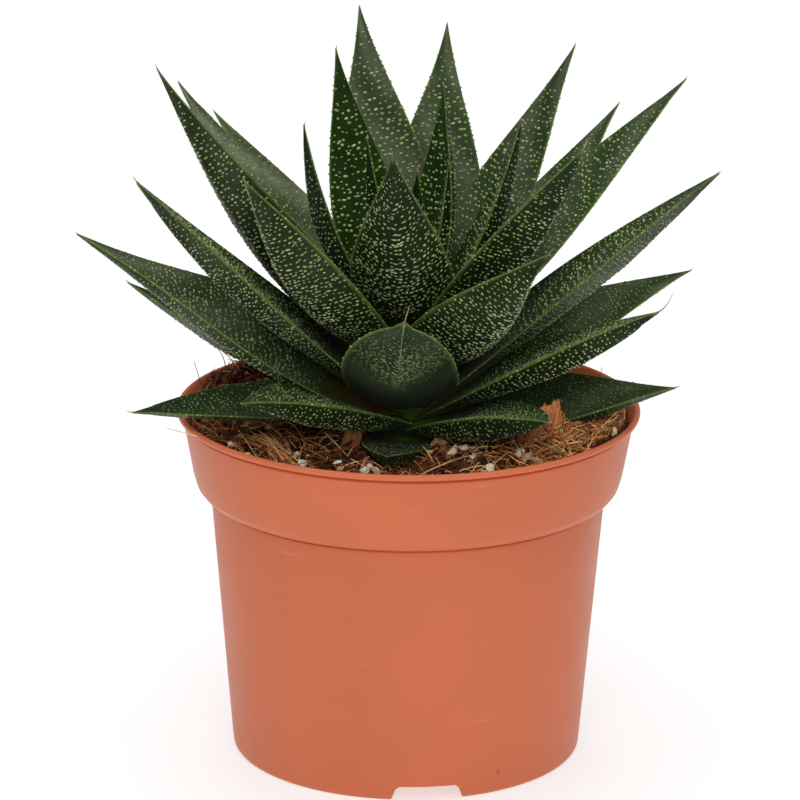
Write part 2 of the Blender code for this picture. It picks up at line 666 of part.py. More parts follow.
def make_soil(surface, leaf_cutters):
    """Soil pressed down under the leaves, with perlite, bark chips and coir strands fused to it."""
    trees = [tree_of(leaf_shape(leaf, CLEARANCE)) for leaf in LEAVES]
    soil = mesh_object("soil", *soil_shape(trees))
    draw = random.Random(SOIL_SEED)
    group = bpy.data.collections.new("soil_pieces")
    bpy.context.scene.collection.children.link(group)
    for i in range(PERLITE_COUNT):
        place = open_place(draw, PERLITE_REACH, 2.4, trees)
        size = draw.uniform(*PERLITE_SIZE)
        group.objects.link(lump("perlite_%d" % i, place, (size, size, size * PERLITE_FLATNESS), draw))
    for i in range(CHIP_COUNT):
        place = open_place(draw, CHIP_REACH, 4.2, trees)
        long = draw.uniform(*CHIP_LENGTH)
        size = (long, long * CHIP_WIDTH_SHARE, long * CHIP_DEPTH_SHARE)
        group.objects.link(lump("chip_%d" % i, place, size, draw))
    made = 0
    while made < FIBRE_COUNT:
        start = open_place(draw, FIBRE_REACH, 2.6, trees)
        finish = start + direction(draw.uniform(0, 360), 0.0) * draw.uniform(*FIBRE_SPAN)
        if math.hypot(finish.x, finish.y) > FIBRE_REACH[1]:
            continue
        finish.z = soil_height(finish.x, finish.y)
        rise = draw.uniform(*FIBRE_RISE)
        middle = (start + finish) / 2 + Vector((0, 0, rise))
        if not clear_of_leaves(middle, 4.0, trees) or not clear_of_leaves(finish, 2.0, trees):
            continue
        sunk = Vector((0, 0, -FIBRE_SINK))
        group.objects.link(fibre("fibre_%d" % made, start + sunk, finish + sunk, rise + FIBRE_SINK, draw))
        made += 1
    group.objects.link(husk("husk"))
    boolean(soil, "UNION", group=group)
    discard(group.objects)
    bpy.data.collections.remove(group)
    own_tree = BVHTree.FromObject(soil, bpy.context.evaluated_depsgraph_get())
    for cutter in leaf_cutters:
        cutter_tree = BVHTree.FromObject(cutter, bpy.context.evaluated_depsgraph_get())
        if own_tree.overlap(cutter_tree):
            boolean(soil, "DIFFERENCE", cutter)
    largest_body(soil)
    finish_mesh(soil, surface, 30.0)
    return soil


if __name__ == "__main__":
    clear_scene()
    leaf_green = material("leaf green", (0.030, 0.075, 0.022), 0.45)
    terracotta = material("terracotta plastic", (0.62, 0.165, 0.075), 0.42)
    stem_green = material("stem green", (0.16, 0.20, 0.07), 0.6)
    coir_brown = material("coir and bark", (0.085, 0.040, 0.020), 0.95)
    make_pot(terracotta)
    mesh_object("stem", *turned_shape(stem_profile(), STEM_SIDES), stem_green, 40.0)
    _, leaf_cutters = make_leaves(leaf_green)
    make_soil(coir_brown, leaf_cutters)
    discard(leaf_cutters)
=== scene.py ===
"""Looks of the potted gasteria: warty leaves, moulded pot, coir soil and a plain studio.

Sizes are in millimetres and angles in degrees. Only the studio's floor and lights are in metres.
+Z is up, the origin is the middle of the pot's underside, and -Y is the front.
"""

import math
from collections import namedtuple

import bmesh
import bpy
import numpy as np
from mathutils import Matrix, Vector, noise
from mathutils.bvhtree import BVHTree


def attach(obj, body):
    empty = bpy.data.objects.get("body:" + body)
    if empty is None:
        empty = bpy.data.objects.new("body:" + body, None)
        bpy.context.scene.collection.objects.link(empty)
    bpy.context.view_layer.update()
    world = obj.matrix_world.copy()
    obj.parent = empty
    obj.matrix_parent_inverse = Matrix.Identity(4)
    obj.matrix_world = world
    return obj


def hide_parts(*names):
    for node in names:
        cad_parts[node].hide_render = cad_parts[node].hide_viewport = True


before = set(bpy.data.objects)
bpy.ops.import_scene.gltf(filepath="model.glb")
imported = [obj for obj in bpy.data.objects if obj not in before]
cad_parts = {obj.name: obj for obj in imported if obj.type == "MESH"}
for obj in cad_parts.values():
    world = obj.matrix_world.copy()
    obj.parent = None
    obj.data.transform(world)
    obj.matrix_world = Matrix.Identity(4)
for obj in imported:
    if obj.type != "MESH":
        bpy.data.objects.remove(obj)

MM = 0.001
BODY = "root"

# Camera
CAMERA_DISTANCE = 1400.0
CAMERA_RISE = 17.1
CAMERA_ROLL = 0.43
CAMERA_TARGET = (-2.2, 0.0, 93.3)
CAMERA_LENS = 243.7
SENSOR_WIDTH = 36.0

# Studio, in metres; a softbox has a name, a place, a size, a power and whether gloss shows it
WHITE = (1.0, 1.0, 1.0, 1.0)
FLOOR_COLOUR = (0.50, 0.50, 0.50, 1.0)
FLOOR_GLOW = 0.58
FLOOR_REACH = 6.0
WORLD_STRENGTH = 0.22
SOFTBOX_TARGET = (0.0, 0.0, 0.1)
SOFTBOXES = (
    ("top_softbox", (-0.05, 0.05, 1.3), (1.5, 1.5), 13.0, False),
    ("front_softbox", (0.05, -1.5, 1.0), (1.0, 1.0), 10.2, False),
    ("left_softbox", (-1.2, -0.3, 0.8), (0.9, 0.9), 0.3, True),
    ("right_softbox", (1.2, -0.2, 0.8), (0.9, 0.9), 0.3, True),
    ("back_softbox", (0.0, 1.3, 0.8), (1.4, 0.9), 4.0, False),
)

# Leaf form, as shares of a leaf's length or of its half width
WIDEST_AT = 0.38
ROUND_END = 0.93
KEEL_AT_BASE = 0.4
KEEL_FULL_AT = 0.65
KEEL_TAPER = 0.8
CHANNEL_SHARE = 0.20
EDGE_HALF_THICKNESS = 0.21
EDGE_BULGE = 0.7
LEAST_HALF_WIDTH = 0.12
BODY_END = 0.992

# Leaf mesh
AXIS_STEPS = 80
ROW_PITCH = 1.3
LEAST_ROWS = 24
UPPER_COLUMNS = 17
LOWER_COLUMNS = 21
EDGE_LEVELS = (0.72, 0.0, -0.72)
MUCRO_SIDES = 6
MUCRO_STEPS = 8
GIRTH_STEPS = 41
SKIN_STEP = 0.004

# Tubercles of a face: pitch of the bands, spacing in a band, half width, half length and height,
# how far the bands bend towards the tip at the margins, the share of places that carry one, and
# the share of the leaf's length below which the skin is smooth
Relief = namedtuple("Relief", "pitch spacing wide long height arc share first", defaults=(0.15,))
LOWER_RELIEF = Relief(1.34, 1.44, 0.56, 0.41, 0.28, 0.14, 0.93)
FRONT_RELIEF = Relief(1.24, 1.42, 0.66, 0.36, 0.28, 0.06, 0.93)
UPPER_RELIEF = Relief(1.58, 1.56, 0.74, 0.52, 0.26, 0.14, 0.92)
SMALL_RELIEF = Relief(1.24, 1.28, 0.50, 0.40, 0.22, 0.10, 0.86)
FINE_RELIEF = Relief(0.86, 1.44, 0.86, 0.20, 0.15, -0.22, 0.94, 0.50)
TUBERCLE_SIDES = 6
TUBERCLE_SINK = 0.10
TUBERCLE_END = 0.972
BARE_MARGIN = 0.45
# the foot of each dome is painted darker than its top: painted shade where it meets the skin
DOME_FOOT_SHADE = 0.88
TOOTH_PITCH = 1.15
TEETH_START = 0.2
TEETH_REACH = 0.775
BIG_TOOTH_SHARE = 0.3

# turn: the way the leaf points, 0 to the front and 90 to the right
# rise: its slope where it leaves the stem, and curl: the slope gained by its tip
# root: the height it leaves the stem at; roll: the turn about its own length
# keel: how far the keel lies from the middle of the underside, as a share of the half width
# blunt: 0 for a long drawn-out tip, 1 for a round one
# sway and twist: the turn and roll gained by its tip
# depth: how deep the keel is, and base: how wide the leaf starts, as shares of the half width
Leaf = namedtuple(
    "Leaf",
    "name turn rise curl root length width roll keel blunt sway twist depth base",
    defaults=(0, 0, 0.72, 0.5),
)
LEAVES = (
    Leaf("leaf_front_lowest", -7, 7, 4, 85.0, 46, 19, 0, 0.0, 0.3, 0, 0, 0.8, 0.7),
    Leaf("leaf_rear_lowest", 175, 10, 4, 89.0, 80, 22, 0, 0.2, 0.1),
    Leaf("leaf_left_lowest", -71, 9, -12, 92.9, 75, 24, -6, 0.2, 0.3, 0, -5, 0.6, 0.6),
    Leaf("leaf_right_lowest", 73, 9, 3, 90.7, 73, 25, 19, 0.0, 0.0, -2, 9, 0.87, 0.6),
    Leaf("leaf_rear_left_lowest", -147, 9, 5, 91.0, 80, 22, 0, -0.2, 0.1),
    Leaf("leaf_rear_right_lowest", 144, 11, 4, 92.0, 80, 22, 0, 0.2, 0.1),
    Leaf("leaf_front_left_low", -42, 26, -20, 89.1, 73, 27, -12, -0.4, 0.2, 10, 10, 0.62, 0.9),
    Leaf("leaf_front_right_low", 42, 23, -17, 87.3, 65, 24, 12, 0.4, 0.6, -15, -19, 0.64, 0.7),
    Leaf("leaf_rear_right_low", 158, 20, 4, 93.5, 84, 23, 0, 0.2, 0.1),
    Leaf("leaf_left_low_far", -113, 9, 12, 94.0, 84, 23, 0, 0.2, 0.1),
    Leaf("leaf_right_low_far", 110, 24, -9, 93.3, 84, 24, 20, -0.2, 0.1, 0, 5, 0.6, 0.5),
    Leaf("leaf_rear_left_low", -168, 19, 4, 94.5, 84, 23, 0, -0.2, 0.1),
    Leaf("leaf_right_low", 62, 32, -9, 90.4, 82, 22, 19, 0.1, 0.5, -4, -18, 0.75, 0.7),
    Leaf("leaf_right_middle", 82, 45, -9, 90.4, 105, 27, 9, -0.4, 0.2, -3, -1, 0.72, 0.6),
    Leaf("leaf_front_middle", -8, 29, 6, 93.6, 74, 29, 5, 0.0, 1.0, 14, -12, 0.62, 0.8),
    Leaf("leaf_rear_right_middle", 141, 33, 1, 97.0, 107, 23, 0, 0.2, 0.1),
    Leaf("leaf_rear_middle", -176, 34, 4, 97.5, 86, 24, 0, 0.2, 0.1),
    Leaf("leaf_left_middle", -72, 30, 1, 93.0, 103, 30, -37, -0.4, 0.0, 1, 26, 0.47, 0.6),
    Leaf("leaf_left_front_middle", -62, 41, 2, 91.4, 104, 26, -20, 0.1, 0.3, -1, 10, 0.65, 0.7),
    Leaf("leaf_rear_left_middle", -139, 38, -6, 99.0, 98, 24, 0, -0.2, 0.1),
    Leaf("leaf_front_right_middle", 35, 42, -7, 100.1, 73, 26, -9, -0.2, 0.0, 5, -12, 0.79, 0.6),
    Leaf("leaf_back_tall", 165, 51, 7, 101.1, 98, 28, 4, 0.1, 0.0, 11, 1, 0.6, 0.5),
    Leaf("leaf_left_tall", -69, 45, 15, 98.8, 111, 22, 35, 0.1, 0.1, -5, 0, 0.63, 0.5),
    Leaf("leaf_front_left_tall", -45, 43, 5, 101.6, 87, 29, -15, 0.1, 0.2, 5, 19, 0.71, 0.6),
    Leaf("leaf_right_tall", 116, 42, 0, 102.3, 105, 26, 9, -0.2, 0.2, -7, -2, 0.5, 0.5),
    Leaf("leaf_rear_left_tall", -108, 41, 12, 104.1, 94, 25, 2, 0.2, 0.3, -3, -5, 0.6, 0.5),
    Leaf("leaf_back_right_tall", 128, 51, 5, 105.5, 93, 24, 3, -0.2, 0.0, 2, 4, 0.5, 0.5),
    Leaf("leaf_back_left_tall", -160, 61, -2, 106.6, 94, 26, -15, -0.1, 0.0, -6, -2, 0.6, 0.5),
    Leaf("leaf_front_right_tall", 54, 52, -5, 105.8, 83, 26, 8, -0.2, 0.2, -2, -6, 0.74, 0.5),
    Leaf("leaf_front_upright", -6, 50, 10, 108.0, 76, 26, 0, 0.0, 0.1),
    Leaf("leaf_right_slender", 90, 56, 18, 108.1, 67, 17, 4, 0.2, 0.1, 1, 2, 0.7, 0.5),
    Leaf("leaf_back_left_upright", -137, 58, 21, 109.0, 79, 20, -16, 0.2, 0.0, -1, -2, 0.6, 0.5),
    Leaf("leaf_left_slender", -77, 52, 28, 106.1, 69, 18, -3, 0.2, 0.0, -1, -2, 0.65, 0.5),
    Leaf("leaf_back_upright", 135, 72, 15, 109.8, 67, 17, -10, 0.2, 0.0, 3, 2, 0.7, 0.5),
    Leaf("leaf_heart_left", -75, 74, 8, 110.5, 55, 11, 0, 0.1, 0.0),
    Leaf("leaf_heart_right", 100, 73, 9, 111.5, 46, 11, 0, 0.1, 0.0),
    Leaf("leaf_heart_front", 15, 80, 3, 112.0, 45, 11, 0, 0.1, 0.0),
)

# How the skin of a leaf departs from the usual one
# lower, upper: the reliefs of its faces; next, the pale painted sheen, which stands in for grazing
# reflection, on its upper and its lower face
# light: how light its tubercles are, partly their own tone and partly painted shade on leaves that lie low
# or in shade; point: the length of its dry point
# bend: how far the point bends to the left and to the upper face, where that isn't left to chance
# line: whether a pale line runs down the keel
Look = namedtuple("Look", "lower upper frost light point bend line")
PLAIN_LOOK = Look(LOWER_RELIEF, UPPER_RELIEF, (0.035, 0.03), 0.88, 1.3, None, False)
SMALL_DOTS = {"lower": SMALL_RELIEF, "upper": SMALL_RELIEF}
LOOKS = {
    "leaf_front_lowest": dict(lower=SMALL_RELIEF, upper=SMALL_RELIEF._replace(share=0.5), light=0.45),
    "leaf_left_lowest": dict(**SMALL_DOTS, light=0.62, point=2.2),
    "leaf_right_lowest": dict(**SMALL_DOTS, frost=(0.22, 0.06), light=0.42, point=2.0),
    "leaf_front_left_low": dict(**SMALL_DOTS, light=0.66),
    "leaf_front_right_low": dict(**SMALL_DOTS, light=0.62),
    "leaf_right_low_far": dict(**SMALL_DOTS, frost=(0.30, 0.12), light=0.70),
    "leaf_right_low": dict(upper=SMALL_RELIEF, frost=(0.07, 0.03), point=6.5, bend=(-0.1, 1.2)),
    "leaf_right_middle": dict(frost=(0.10, 0.13), light=0.74, point=1.6),
    "leaf_front_middle": dict(
        lower=FINE_RELIEF, upper=SMALL_RELIEF, frost=(0.04, 0.11), light=0.58,
        point=2.9, bend=(-0.5, 2.2), line=True,
    ),
    "leaf_rear_right_middle": dict(frost=(0.34, 0.10)),
    "leaf_left_middle": dict(frost=(0.34, 0.20), light=0.75),
    "leaf_left_front_middle": dict(frost=(0.05, 0.14), point=2.8, line=True),
    "leaf_rear_left_middle": dict(frost=(0.60, 0.45), light=0.70),
    "leaf_front_right_middle": dict(lower=FRONT_RELIEF, frost=(0.03, 0.09)),
    "leaf_back_tall": dict(frost=(0.38, 0.09)),
    "leaf_left_tall": dict(frost=(0.08, 0.16), point=2.2),
    "leaf_front_left_tall": dict(lower=FRONT_RELIEF, frost=(0.03, 0.08), point=1.4, line=True),
    "leaf_right_tall": dict(frost=(0.30, 0.11)),
    "leaf_rear_left_tall": dict(frost=(0.85, 0.10)),
    "leaf_back_right_tall": dict(frost=(0.34, 0.10)),
    "leaf_back_left_tall": dict(frost=(0.46, 0.06), point=0.7),
    "leaf_front_right_tall": dict(lower=FRONT_RELIEF, point=4.2),
    "leaf_front_upright": dict(lower=FRONT_RELIEF._replace(arc=0.30), light=0.78),
}
KEEL_LINE_START = 0.74
KEEL_LINE_STEPS = 24

# Pot
POT_HEIGHT = 92.0
POT_SEGMENTS = 120
POT_SHARP_ANGLE = 38.0
POT_FILLET = 0.4
RIM_RADIUS = 60.0
RIM_INNER_RADIUS = 58.3
LIP_THICKNESS = 1.6
LIP_UNDERCUT = 0.75
SHOULDER_UNDERCUT = 0.5
COLLAR_TOP_RADIUS = 58.4
COLLAR_FOOT_RADIUS = 55.7
COLLAR_FOOT_Z = 75.2
COLLAR_INSIDE_TOP_Z = POT_HEIGHT - 2.6
BODY_TOP_RADIUS = 51.2
BODY_TOP_Z = 69.4
BODY_FOOT_RADIUS = 45.6
FOOT_RADIUS = 44.6
FOOT_INNER_RADIUS = 43.3
WALL = 1.2
COLLAR_INSIDE_TOP_RADIUS = COLLAR_TOP_RADIUS - WALL - 0.1
FLOOR_BOTTOM = 4.6
FLOOR_TOP = 5.9
CENTRE_FOOT_RADIUS = 6.0
NOTCH_COUNT = 3
NOTCH_TURN = 7.0
NOTCH_TOP_HALF_WIDTH = 7.9
NOTCH_FOOT_HALF_WIDTH = 9.5
NOTCH_HEIGHT = 3.9
HOLE_COUNT = 6
HOLE_RADIUS = 3.5
HOLE_CIRCLE_RADIUS = 33.0
HOLE_TURN = 34.0
HOLE_SIDES = 28

# Soil
SOIL_SPOKES = 220
SOIL_RING_PITCH = 0.8
SOIL_INNER_RADIUS = 7.0
SOIL_WALL_GAP = 0.15
SOIL_EDGE_Z = 84.8
SOIL_MOUND = 2.2
SOIL_ROUGHNESS = 1.1
CRUMB_RELIEF = 0.9
LEAF_PRESS_GAP = 0.9
SOIL_REACH = 56.0
HEAP_PLACE = (-43.5, 24.0)
HEAP_HEIGHT = 9.0
HEAP_RADIUS = 13.0
HEAP_SPREAD = 6.0
HEAP_CRUMBS = 260
HEAP_FIBRES = 90
MAT_PLACE = (43.0, -19.0)
MAT_HEIGHT = 5.4
MAT_RADIUS = 24.0
MAT_SPREAD = (13.0, 12.0)
MAT_FIBRES = 900
HUSK_PLACE = (33.0, -28.0)
HUSK_SIZE = (14.0, 3.6, 13.0)
FLAKE_PLACE = (-15.4, -23.5)
FLAKE_SIZE = (4.8, 1.0, 7.4)
FLAKE_COUNT = 26
CLUMP_PLACE = (7.5, -21.5)
CLUMP_SPREAD = 1.6
CLUMP_CRUMBS = 60
BUNDLE_FOOT = (-29.0, -36.0)
BUNDLE_TOP = (-38.0, -17.0)
BUNDLE_STRANDS = 46
BUNDLE_STEPS = 9
CRUMB_COUNT = 1500
CHIP_COUNT = 70
PERLITE_COUNT = 70
FIBRE_COUNT = 2700
FIBRE_GAP = 0.3
STRAND_STEPS = 8
ROOT_STEPS = 22
HAIR_STEPS = 10

# Perlite that shows: place and size across
PERLITE_PLACES = (
    (11.3, -31.4, 3.2),
    (14.1, -27.9, 2.4),
    (16.7, -29.5, 2.0),
    (28.2, -35.3, 3.0),
    (29.9, -37.1, 2.4),
    (32.7, -39.5, 2.6),
    (20.5, -43.2, 2.4),
    (19.0, -43.7, 1.6),
    (44.3, -26.3, 1.6),
    (52.5, -19.8, 2.0),
    (47.6, -11.4, 1.4),
    (-26.6, -36.5, 3.0),
    (-17.8, -37.5, 2.2),
    (-10.9, -43.5, 2.4),
    (-8.1, -44.5, 2.2),
    (-45.3, -21.5, 1.8),
    (-41.0, -29.0, 1.6),
)

# Pale roots that lie on the soil: places with the height above it, and the radius
ROOTS = (
    (((-39.0, -8.0, 2.6), (-35.0, -14.0, 2.8), (-31.5, -23.0, 2.0), (-28.6, -37.0, 0.4)), 0.24),
    (((-34.0, -10.0, 3.4), (-29.5, -14.0, 3.2), (-27.0, -20.0, 2.2), (-26.0, -29.0, 0.2)), 0.22),
    (((-21.5, -19.0, 2.6), (-18.0, -26.0, 2.2), (-14.5, -33.5, 1.2), (-9.5, -41.5, 0.2)), 0.26),
    (((-41.5, -37.0, 0.4), (-46.0, -31.0, 2.6), (-52.5, -27.0, 6.4), (-61.5, -24.5, 8.0)), 0.20),
    (((-43.0, -14.0, 2.0), (-41.0, -22.0, 1.6), (-38.5, -30.0, 1.0), (-35.5, -38.0, 0.2)), 0.22),
    (((2.0, -46.0, 0.4), (9.0, -41.0, 1.4), (15.0, -36.0, 1.2), (21.0, -30.0, 0.4)), 0.18),
    (((38.0, -37.0, 0.3), (41.0, -29.0, 1.6), (46.0, -21.0, 1.4), (50.0, -12.0, 0.3)), 0.18),
)

# Loose hairs that stand up at the rim: foot, height and lean to the right
HAIRS = (
    (-54.0, 20.0, 12.5, -2.2),
    (-48.0, 26.0, 7.0, -2.4),
    (-53.5, 12.0, 4.0, -1.2),
    (-55.2, 9.0, 3.2, 0.8),
    (-46.0, 30.0, 4.6, -3.2),
    (49.5, 24.0, 9.0, 1.4),
    (50.2, 23.0, 7.0, -1.6),
)


def srgb(red, green, blue):
    """Linear colour of an 8-bit screen colour."""
    shares = [value / 255.0 for value in (red, green, blue)]
    return np.array([s / 12.92 if s <= 0.04045 else ((s + 0.055) / 1.055) ** 2.4 for s in shares])


SKIN_DARK = srgb(19, 37, 7)
SKIN_UPPER = srgb(26, 50, 11)
SKIN_BASE = srgb(60, 90, 20)
SKIN_BASE_BROWN = srgb(98, 66, 24)
SKIN_MARGIN = srgb(104, 126, 66)
SKIN_KEEL = srgb(122, 142, 84)
# pale grey painted sheen that stands in for grazing reflection on the skin
SKIN_PAINTED_SHEEN = srgb(124, 130, 104)
SKIN_TIP = srgb(104, 98, 62)
MUCRO_END = srgb(178, 176, 126)
WART_PALE = srgb(212, 222, 168)
WART_GREEN = srgb(168, 196, 92)
# the same painted sheen, on the tubercles
WART_PAINTED_SHEEN = srgb(160, 168, 142)
POT_COLOUR = srgb(209, 112, 74)
POT_SCUFF = srgb(222, 150, 118)
POT_SPECK = srgb(150, 72, 46)
FIBRE_TINTS = (
    srgb(190, 126, 72),
    srgb(158, 98, 52),
    srgb(208, 152, 94),
    srgb(224, 184, 130),
    srgb(120, 72, 40),
    srgb(174, 106, 58),
)
ROOT_TINT = srgb(240, 204, 152)
HAIR_TINT = srgb(122, 110, 96)
CRUMB_TINTS = (
    srgb(74, 40, 25),
    srgb(50, 29, 19),
    srgb(112, 62, 37),
    srgb(36, 23, 18),
    srgb(138, 80, 48),
)
HEAP_TINTS = (srgb(128, 66, 46), srgb(92, 46, 34), srgb(156, 88, 64), srgb(62, 34, 26))
CLUMP_TINTS = (srgb(216, 156, 104), srgb(196, 130, 80), srgb(228, 182, 134))
BARK_TINTS = (srgb(110, 62, 40), srgb(74, 42, 30), srgb(146, 90, 60))
PERLITE_TINTS = (srgb(250, 232, 196), srgb(238, 212, 170), srgb(255, 246, 222))
HUSK_LOW = srgb(148, 92, 54)
HUSK_TOP = srgb(208, 136, 86)


def smooth_step(low, high, value):
    share = np.clip((value - low) / (high - low), 0.0, 1.0)
    return share * share * (3.0 - 2.0 * share)


def mix(first, second, share):
    """Blend two colours, or arrays of them, by an array of shares."""
    share = np.asarray(share)[..., None]
    return np.asarray(first) * (1.0 - share) + np.asarray(second) * share


def headings(turn, rise):
    """Unit vectors that point turn degrees round from the front and rise above level."""
    turn, rise = np.radians(turn), np.radians(rise)
    level = np.cos(rise)
    return np.stack([np.sin(turn) * level, -np.cos(turn) * level, np.sin(rise) + 0.0 * turn], axis=-1)


def unit(vectors):
    return vectors / np.maximum(np.linalg.norm(vectors, axis=-1, keepdims=True), 1e-9)


def circle(count, first=0.0):
    """Angles at even steps once round, from a share of a step."""
    return 2 * math.pi * (np.arange(count) + first) / count


def ring_quads(rings, count, start=0):
    """The quads between neighbouring rings of points, where each ring is closed."""
    ring, side = np.meshgrid(np.arange(rings - 1), np.arange(count), indexing="ij")
    low, beside = start + ring * count, (side + 1) % count
    quads = [low + side, low + beside, low + count + beside, low + count + side]
    return np.stack(quads, axis=-1).reshape(-1, 4)


def joined(parts):
    """One (points, face groups, tint) from several."""
    starts = np.cumsum([0] + [len(points) for points, _, _ in parts])
    groups = [np.asarray(group) + start for part, start in zip(parts, starts) for group in part[1]]
    return np.concatenate([part[0] for part in parts]), groups, np.concatenate([part[2] for part in parts])


def add_object(name, data):
    made = bpy.data.objects.new(name, data)
    bpy.context.scene.collection.objects.link(made)
    return made


def build_mesh(name, surface, slot, points, face_groups, tint=None, sharp_angle=None):
    """A piece from points and arrays of faces, one array for each number of corners."""
    mesh = bpy.data.meshes.new(name)
    groups = [np.asarray(group, dtype=np.int32) for group in face_groups if len(group)]
    corners = np.concatenate([group.ravel() for group in groups])
    sizes = np.concatenate([np.full(len(group), group.shape[1]) for group in groups])
    mesh.vertices.add(len(points))
    mesh.vertices.foreach_set("co", (np.asarray(points) * MM).astype(np.float32).ravel())
    mesh.loops.add(len(corners))
    mesh.loops.foreach_set("vertex_index", corners)
    mesh.polygons.add(len(sizes))
    mesh.polygons.foreach_set("loop_start", np.concatenate([[0], np.cumsum(sizes)[:-1]]).astype(np.int32))
    mesh.update(calc_edges=True)
    mesh.validate()
    mesh.shade_smooth()
    if sharp_angle:
        mesh.set_sharp_from_angle(angle=math.radians(sharp_angle))
    if tint is not None:
        layer = mesh.color_attributes.new("tint", "FLOAT_COLOR", "POINT")
        rgba = np.concatenate([np.clip(tint, 0.0, 1.0), np.ones((len(points), 1))], axis=1)
        layer.data.foreach_set("color", rgba.astype(np.float32).ravel())
    mesh.materials.append(surface)
    piece = add_object(name, mesh)
    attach(piece, BODY)
    return piece


# Materials


def set_inputs(node, **values):
    for name, value in values.items():
        node.inputs[name.replace("_", " ")].default_value = value


def new_material(name, roughness, specular=0.5):
    made = bpy.data.materials.new(name)
    made.use_nodes = True
    shader = made.node_tree.nodes["Principled BSDF"]
    set_inputs(shader, Roughness=roughness, Specular_IOR_Level=specular)
    return made, made.node_tree, shader


def add_node(tree, kind, **values):
    made = tree.nodes.new(kind)
    set_inputs(made, **values)
    return made


def place_noise(tree, scale, detail=3.0, stretch=(1.0, 1.0, 1.0)):
    """Noise over the object's own coordinates, with scale in features per metre."""
    place = tree.nodes.new("ShaderNodeTexCoord")
    mapping = add_node(tree, "ShaderNodeMapping", Scale=stretch)
    pattern = add_node(tree, "ShaderNodeTexNoise", Scale=scale, Detail=detail)
    tree.links.new(place.outputs["Object"], mapping.inputs["Vector"])
    tree.links.new(mapping.outputs["Vector"], pattern.inputs["Vector"])
    return pattern.outputs["Fac"]


def remap(tree, value, to_low, to_high, low=0.3, high=0.7):
    """A value from low to high, which noise seldom leaves, stretched to another range."""
    made = add_node(tree, "ShaderNodeMapRange", From_Min=low, From_Max=high, To_Min=to_low, To_Max=to_high)
    tree.links.new(value, made.inputs["Value"])
    return made.outputs["Result"]


def scaled_tint(tree, factor, colour=None):
    """The piece's painted tint, or a colour output, times a factor output."""
    if colour is None:
        paint = tree.nodes.new("ShaderNodeAttribute")
        paint.attribute_name = "tint"
        colour = paint.outputs["Color"]
    made = tree.nodes.new("ShaderNodeVectorMath")
    made.operation = "SCALE"
    tree.links.new(colour, made.inputs[0])
    tree.links.new(factor, made.inputs["Scale"])
    return made.outputs["Vector"]


def mixed(tree, factor, first, second):
    """A colour mix; the first colour is an output or a fixed colour, and the second is fixed."""
    made = tree.nodes.new("ShaderNodeMix")
    made.data_type = "RGBA"
    tree.links.new(factor, made.inputs["Factor"])
    if isinstance(first, bpy.types.NodeSocket):
        tree.links.new(first, made.inputs[6])
    else:
        made.inputs[6].default_value = (*first, 1.0)
    made.inputs[7].default_value = (*second, 1.0)
    return made.outputs[2]


def add_bump(tree, shader, height, strength, distance):
    made = add_node(tree, "ShaderNodeBump", Strength=strength, Distance=distance * MM)
    tree.links.new(height, made.inputs["Height"])
    tree.links.new(made.outputs["Normal"], shader.inputs["Normal"])


def leaf_material():
    made, tree, shader = new_material("leaf skin", 0.5, 0.10)
    mottle = remap(tree, place_noise(tree, 240.0, 4.0), 0.76, 1.24)
    tree.links.new(scaled_tint(tree, mottle), shader.inputs["Base Color"])
    tree.links.new(remap(tree, place_noise(tree, 420.0), 0.42, 0.60), shader.inputs["Roughness"])
    set_inputs(shader, Sheen_Weight=0.05, Sheen_Roughness=0.4, Sheen_Tint=(0.86, 0.9, 0.8, 1.0))
    add_bump(tree, shader, place_noise(tree, 2600.0, 2.0), 0.25, 0.10)
    return made


def pot_material():
    """Satin plastic with faint clouds, level scuffs and dark specks."""
    made, tree, shader = new_material("terracotta plastic", 0.42, 0.24)
    cloud = remap(tree, place_noise(tree, 22.0, 2.0), 0.95, 1.05)
    scuff = remap(tree, place_noise(tree, 60.0, 5.0, (1.0, 1.0, 9.0)), 0.0, 0.35, 0.66, 0.78)
    grit = remap(tree, place_noise(tree, 420.0, 1.0), 0.0, 0.8, 0.80, 0.84)
    colour = mixed(tree, grit, mixed(tree, scuff, POT_COLOUR, POT_SCUFF), POT_SPECK)
    tree.links.new(scaled_tint(tree, cloud, colour), shader.inputs["Base Color"])
    tree.links.new(remap(tree, place_noise(tree, 45.0, 4.0), 0.34, 0.48), shader.inputs["Roughness"])
    add_bump(tree, shader, place_noise(tree, 1500.0, 2.0), 0.12, 0.04)
    return made


def tinted_material(name, roughness, scale, low, high, relief):
    """A rough matt surface that takes its colour from the painted tint, broken up by noise."""
    made, tree, shader = new_material(name, roughness, 0.25)
    patches = remap(tree, place_noise(tree, scale, 4.0), low, high)
    tree.links.new(scaled_tint(tree, patches), shader.inputs["Base Color"])
    add_bump(tree, shader, place_noise(tree, scale * 2.5, 3.0), 0.6, relief)
    return made


# Leaves


def look_of(leaf):
    return PLAIN_LOOK._replace(**LOOKS.get(leaf.name, {}))


def half_width(leaf, along):
    """Half the leaf's width at shares of its length: clasping base, full middle, long or beaked tip."""
    rising = 1.0 - (1.0 - leaf.base) * (1.0 - along / WIDEST_AT) ** 2
    left = np.clip((1.0 - along) / (1.0 - WIDEST_AT), 0.0, 1.0)
    pointed = 0.60 * left + 1.80 * left**2 - 1.40 * left**3
    left_of_round = np.clip((ROUND_END - along) / (ROUND_END - WIDEST_AT), 0.0, 1.0)
    beak = pointed * (1.0 + 0.8 * smooth_step(0.32, 0.12, left))
    rounded = np.maximum(beak, np.sqrt(1.0 - (1.0 - left_of_round) ** 2))
    share = np.where(along < WIDEST_AT, rising, pointed + (rounded - pointed) * leaf.blunt)
    return np.maximum(leaf.width / 2 * share, LEAST_HALF_WIDTH)


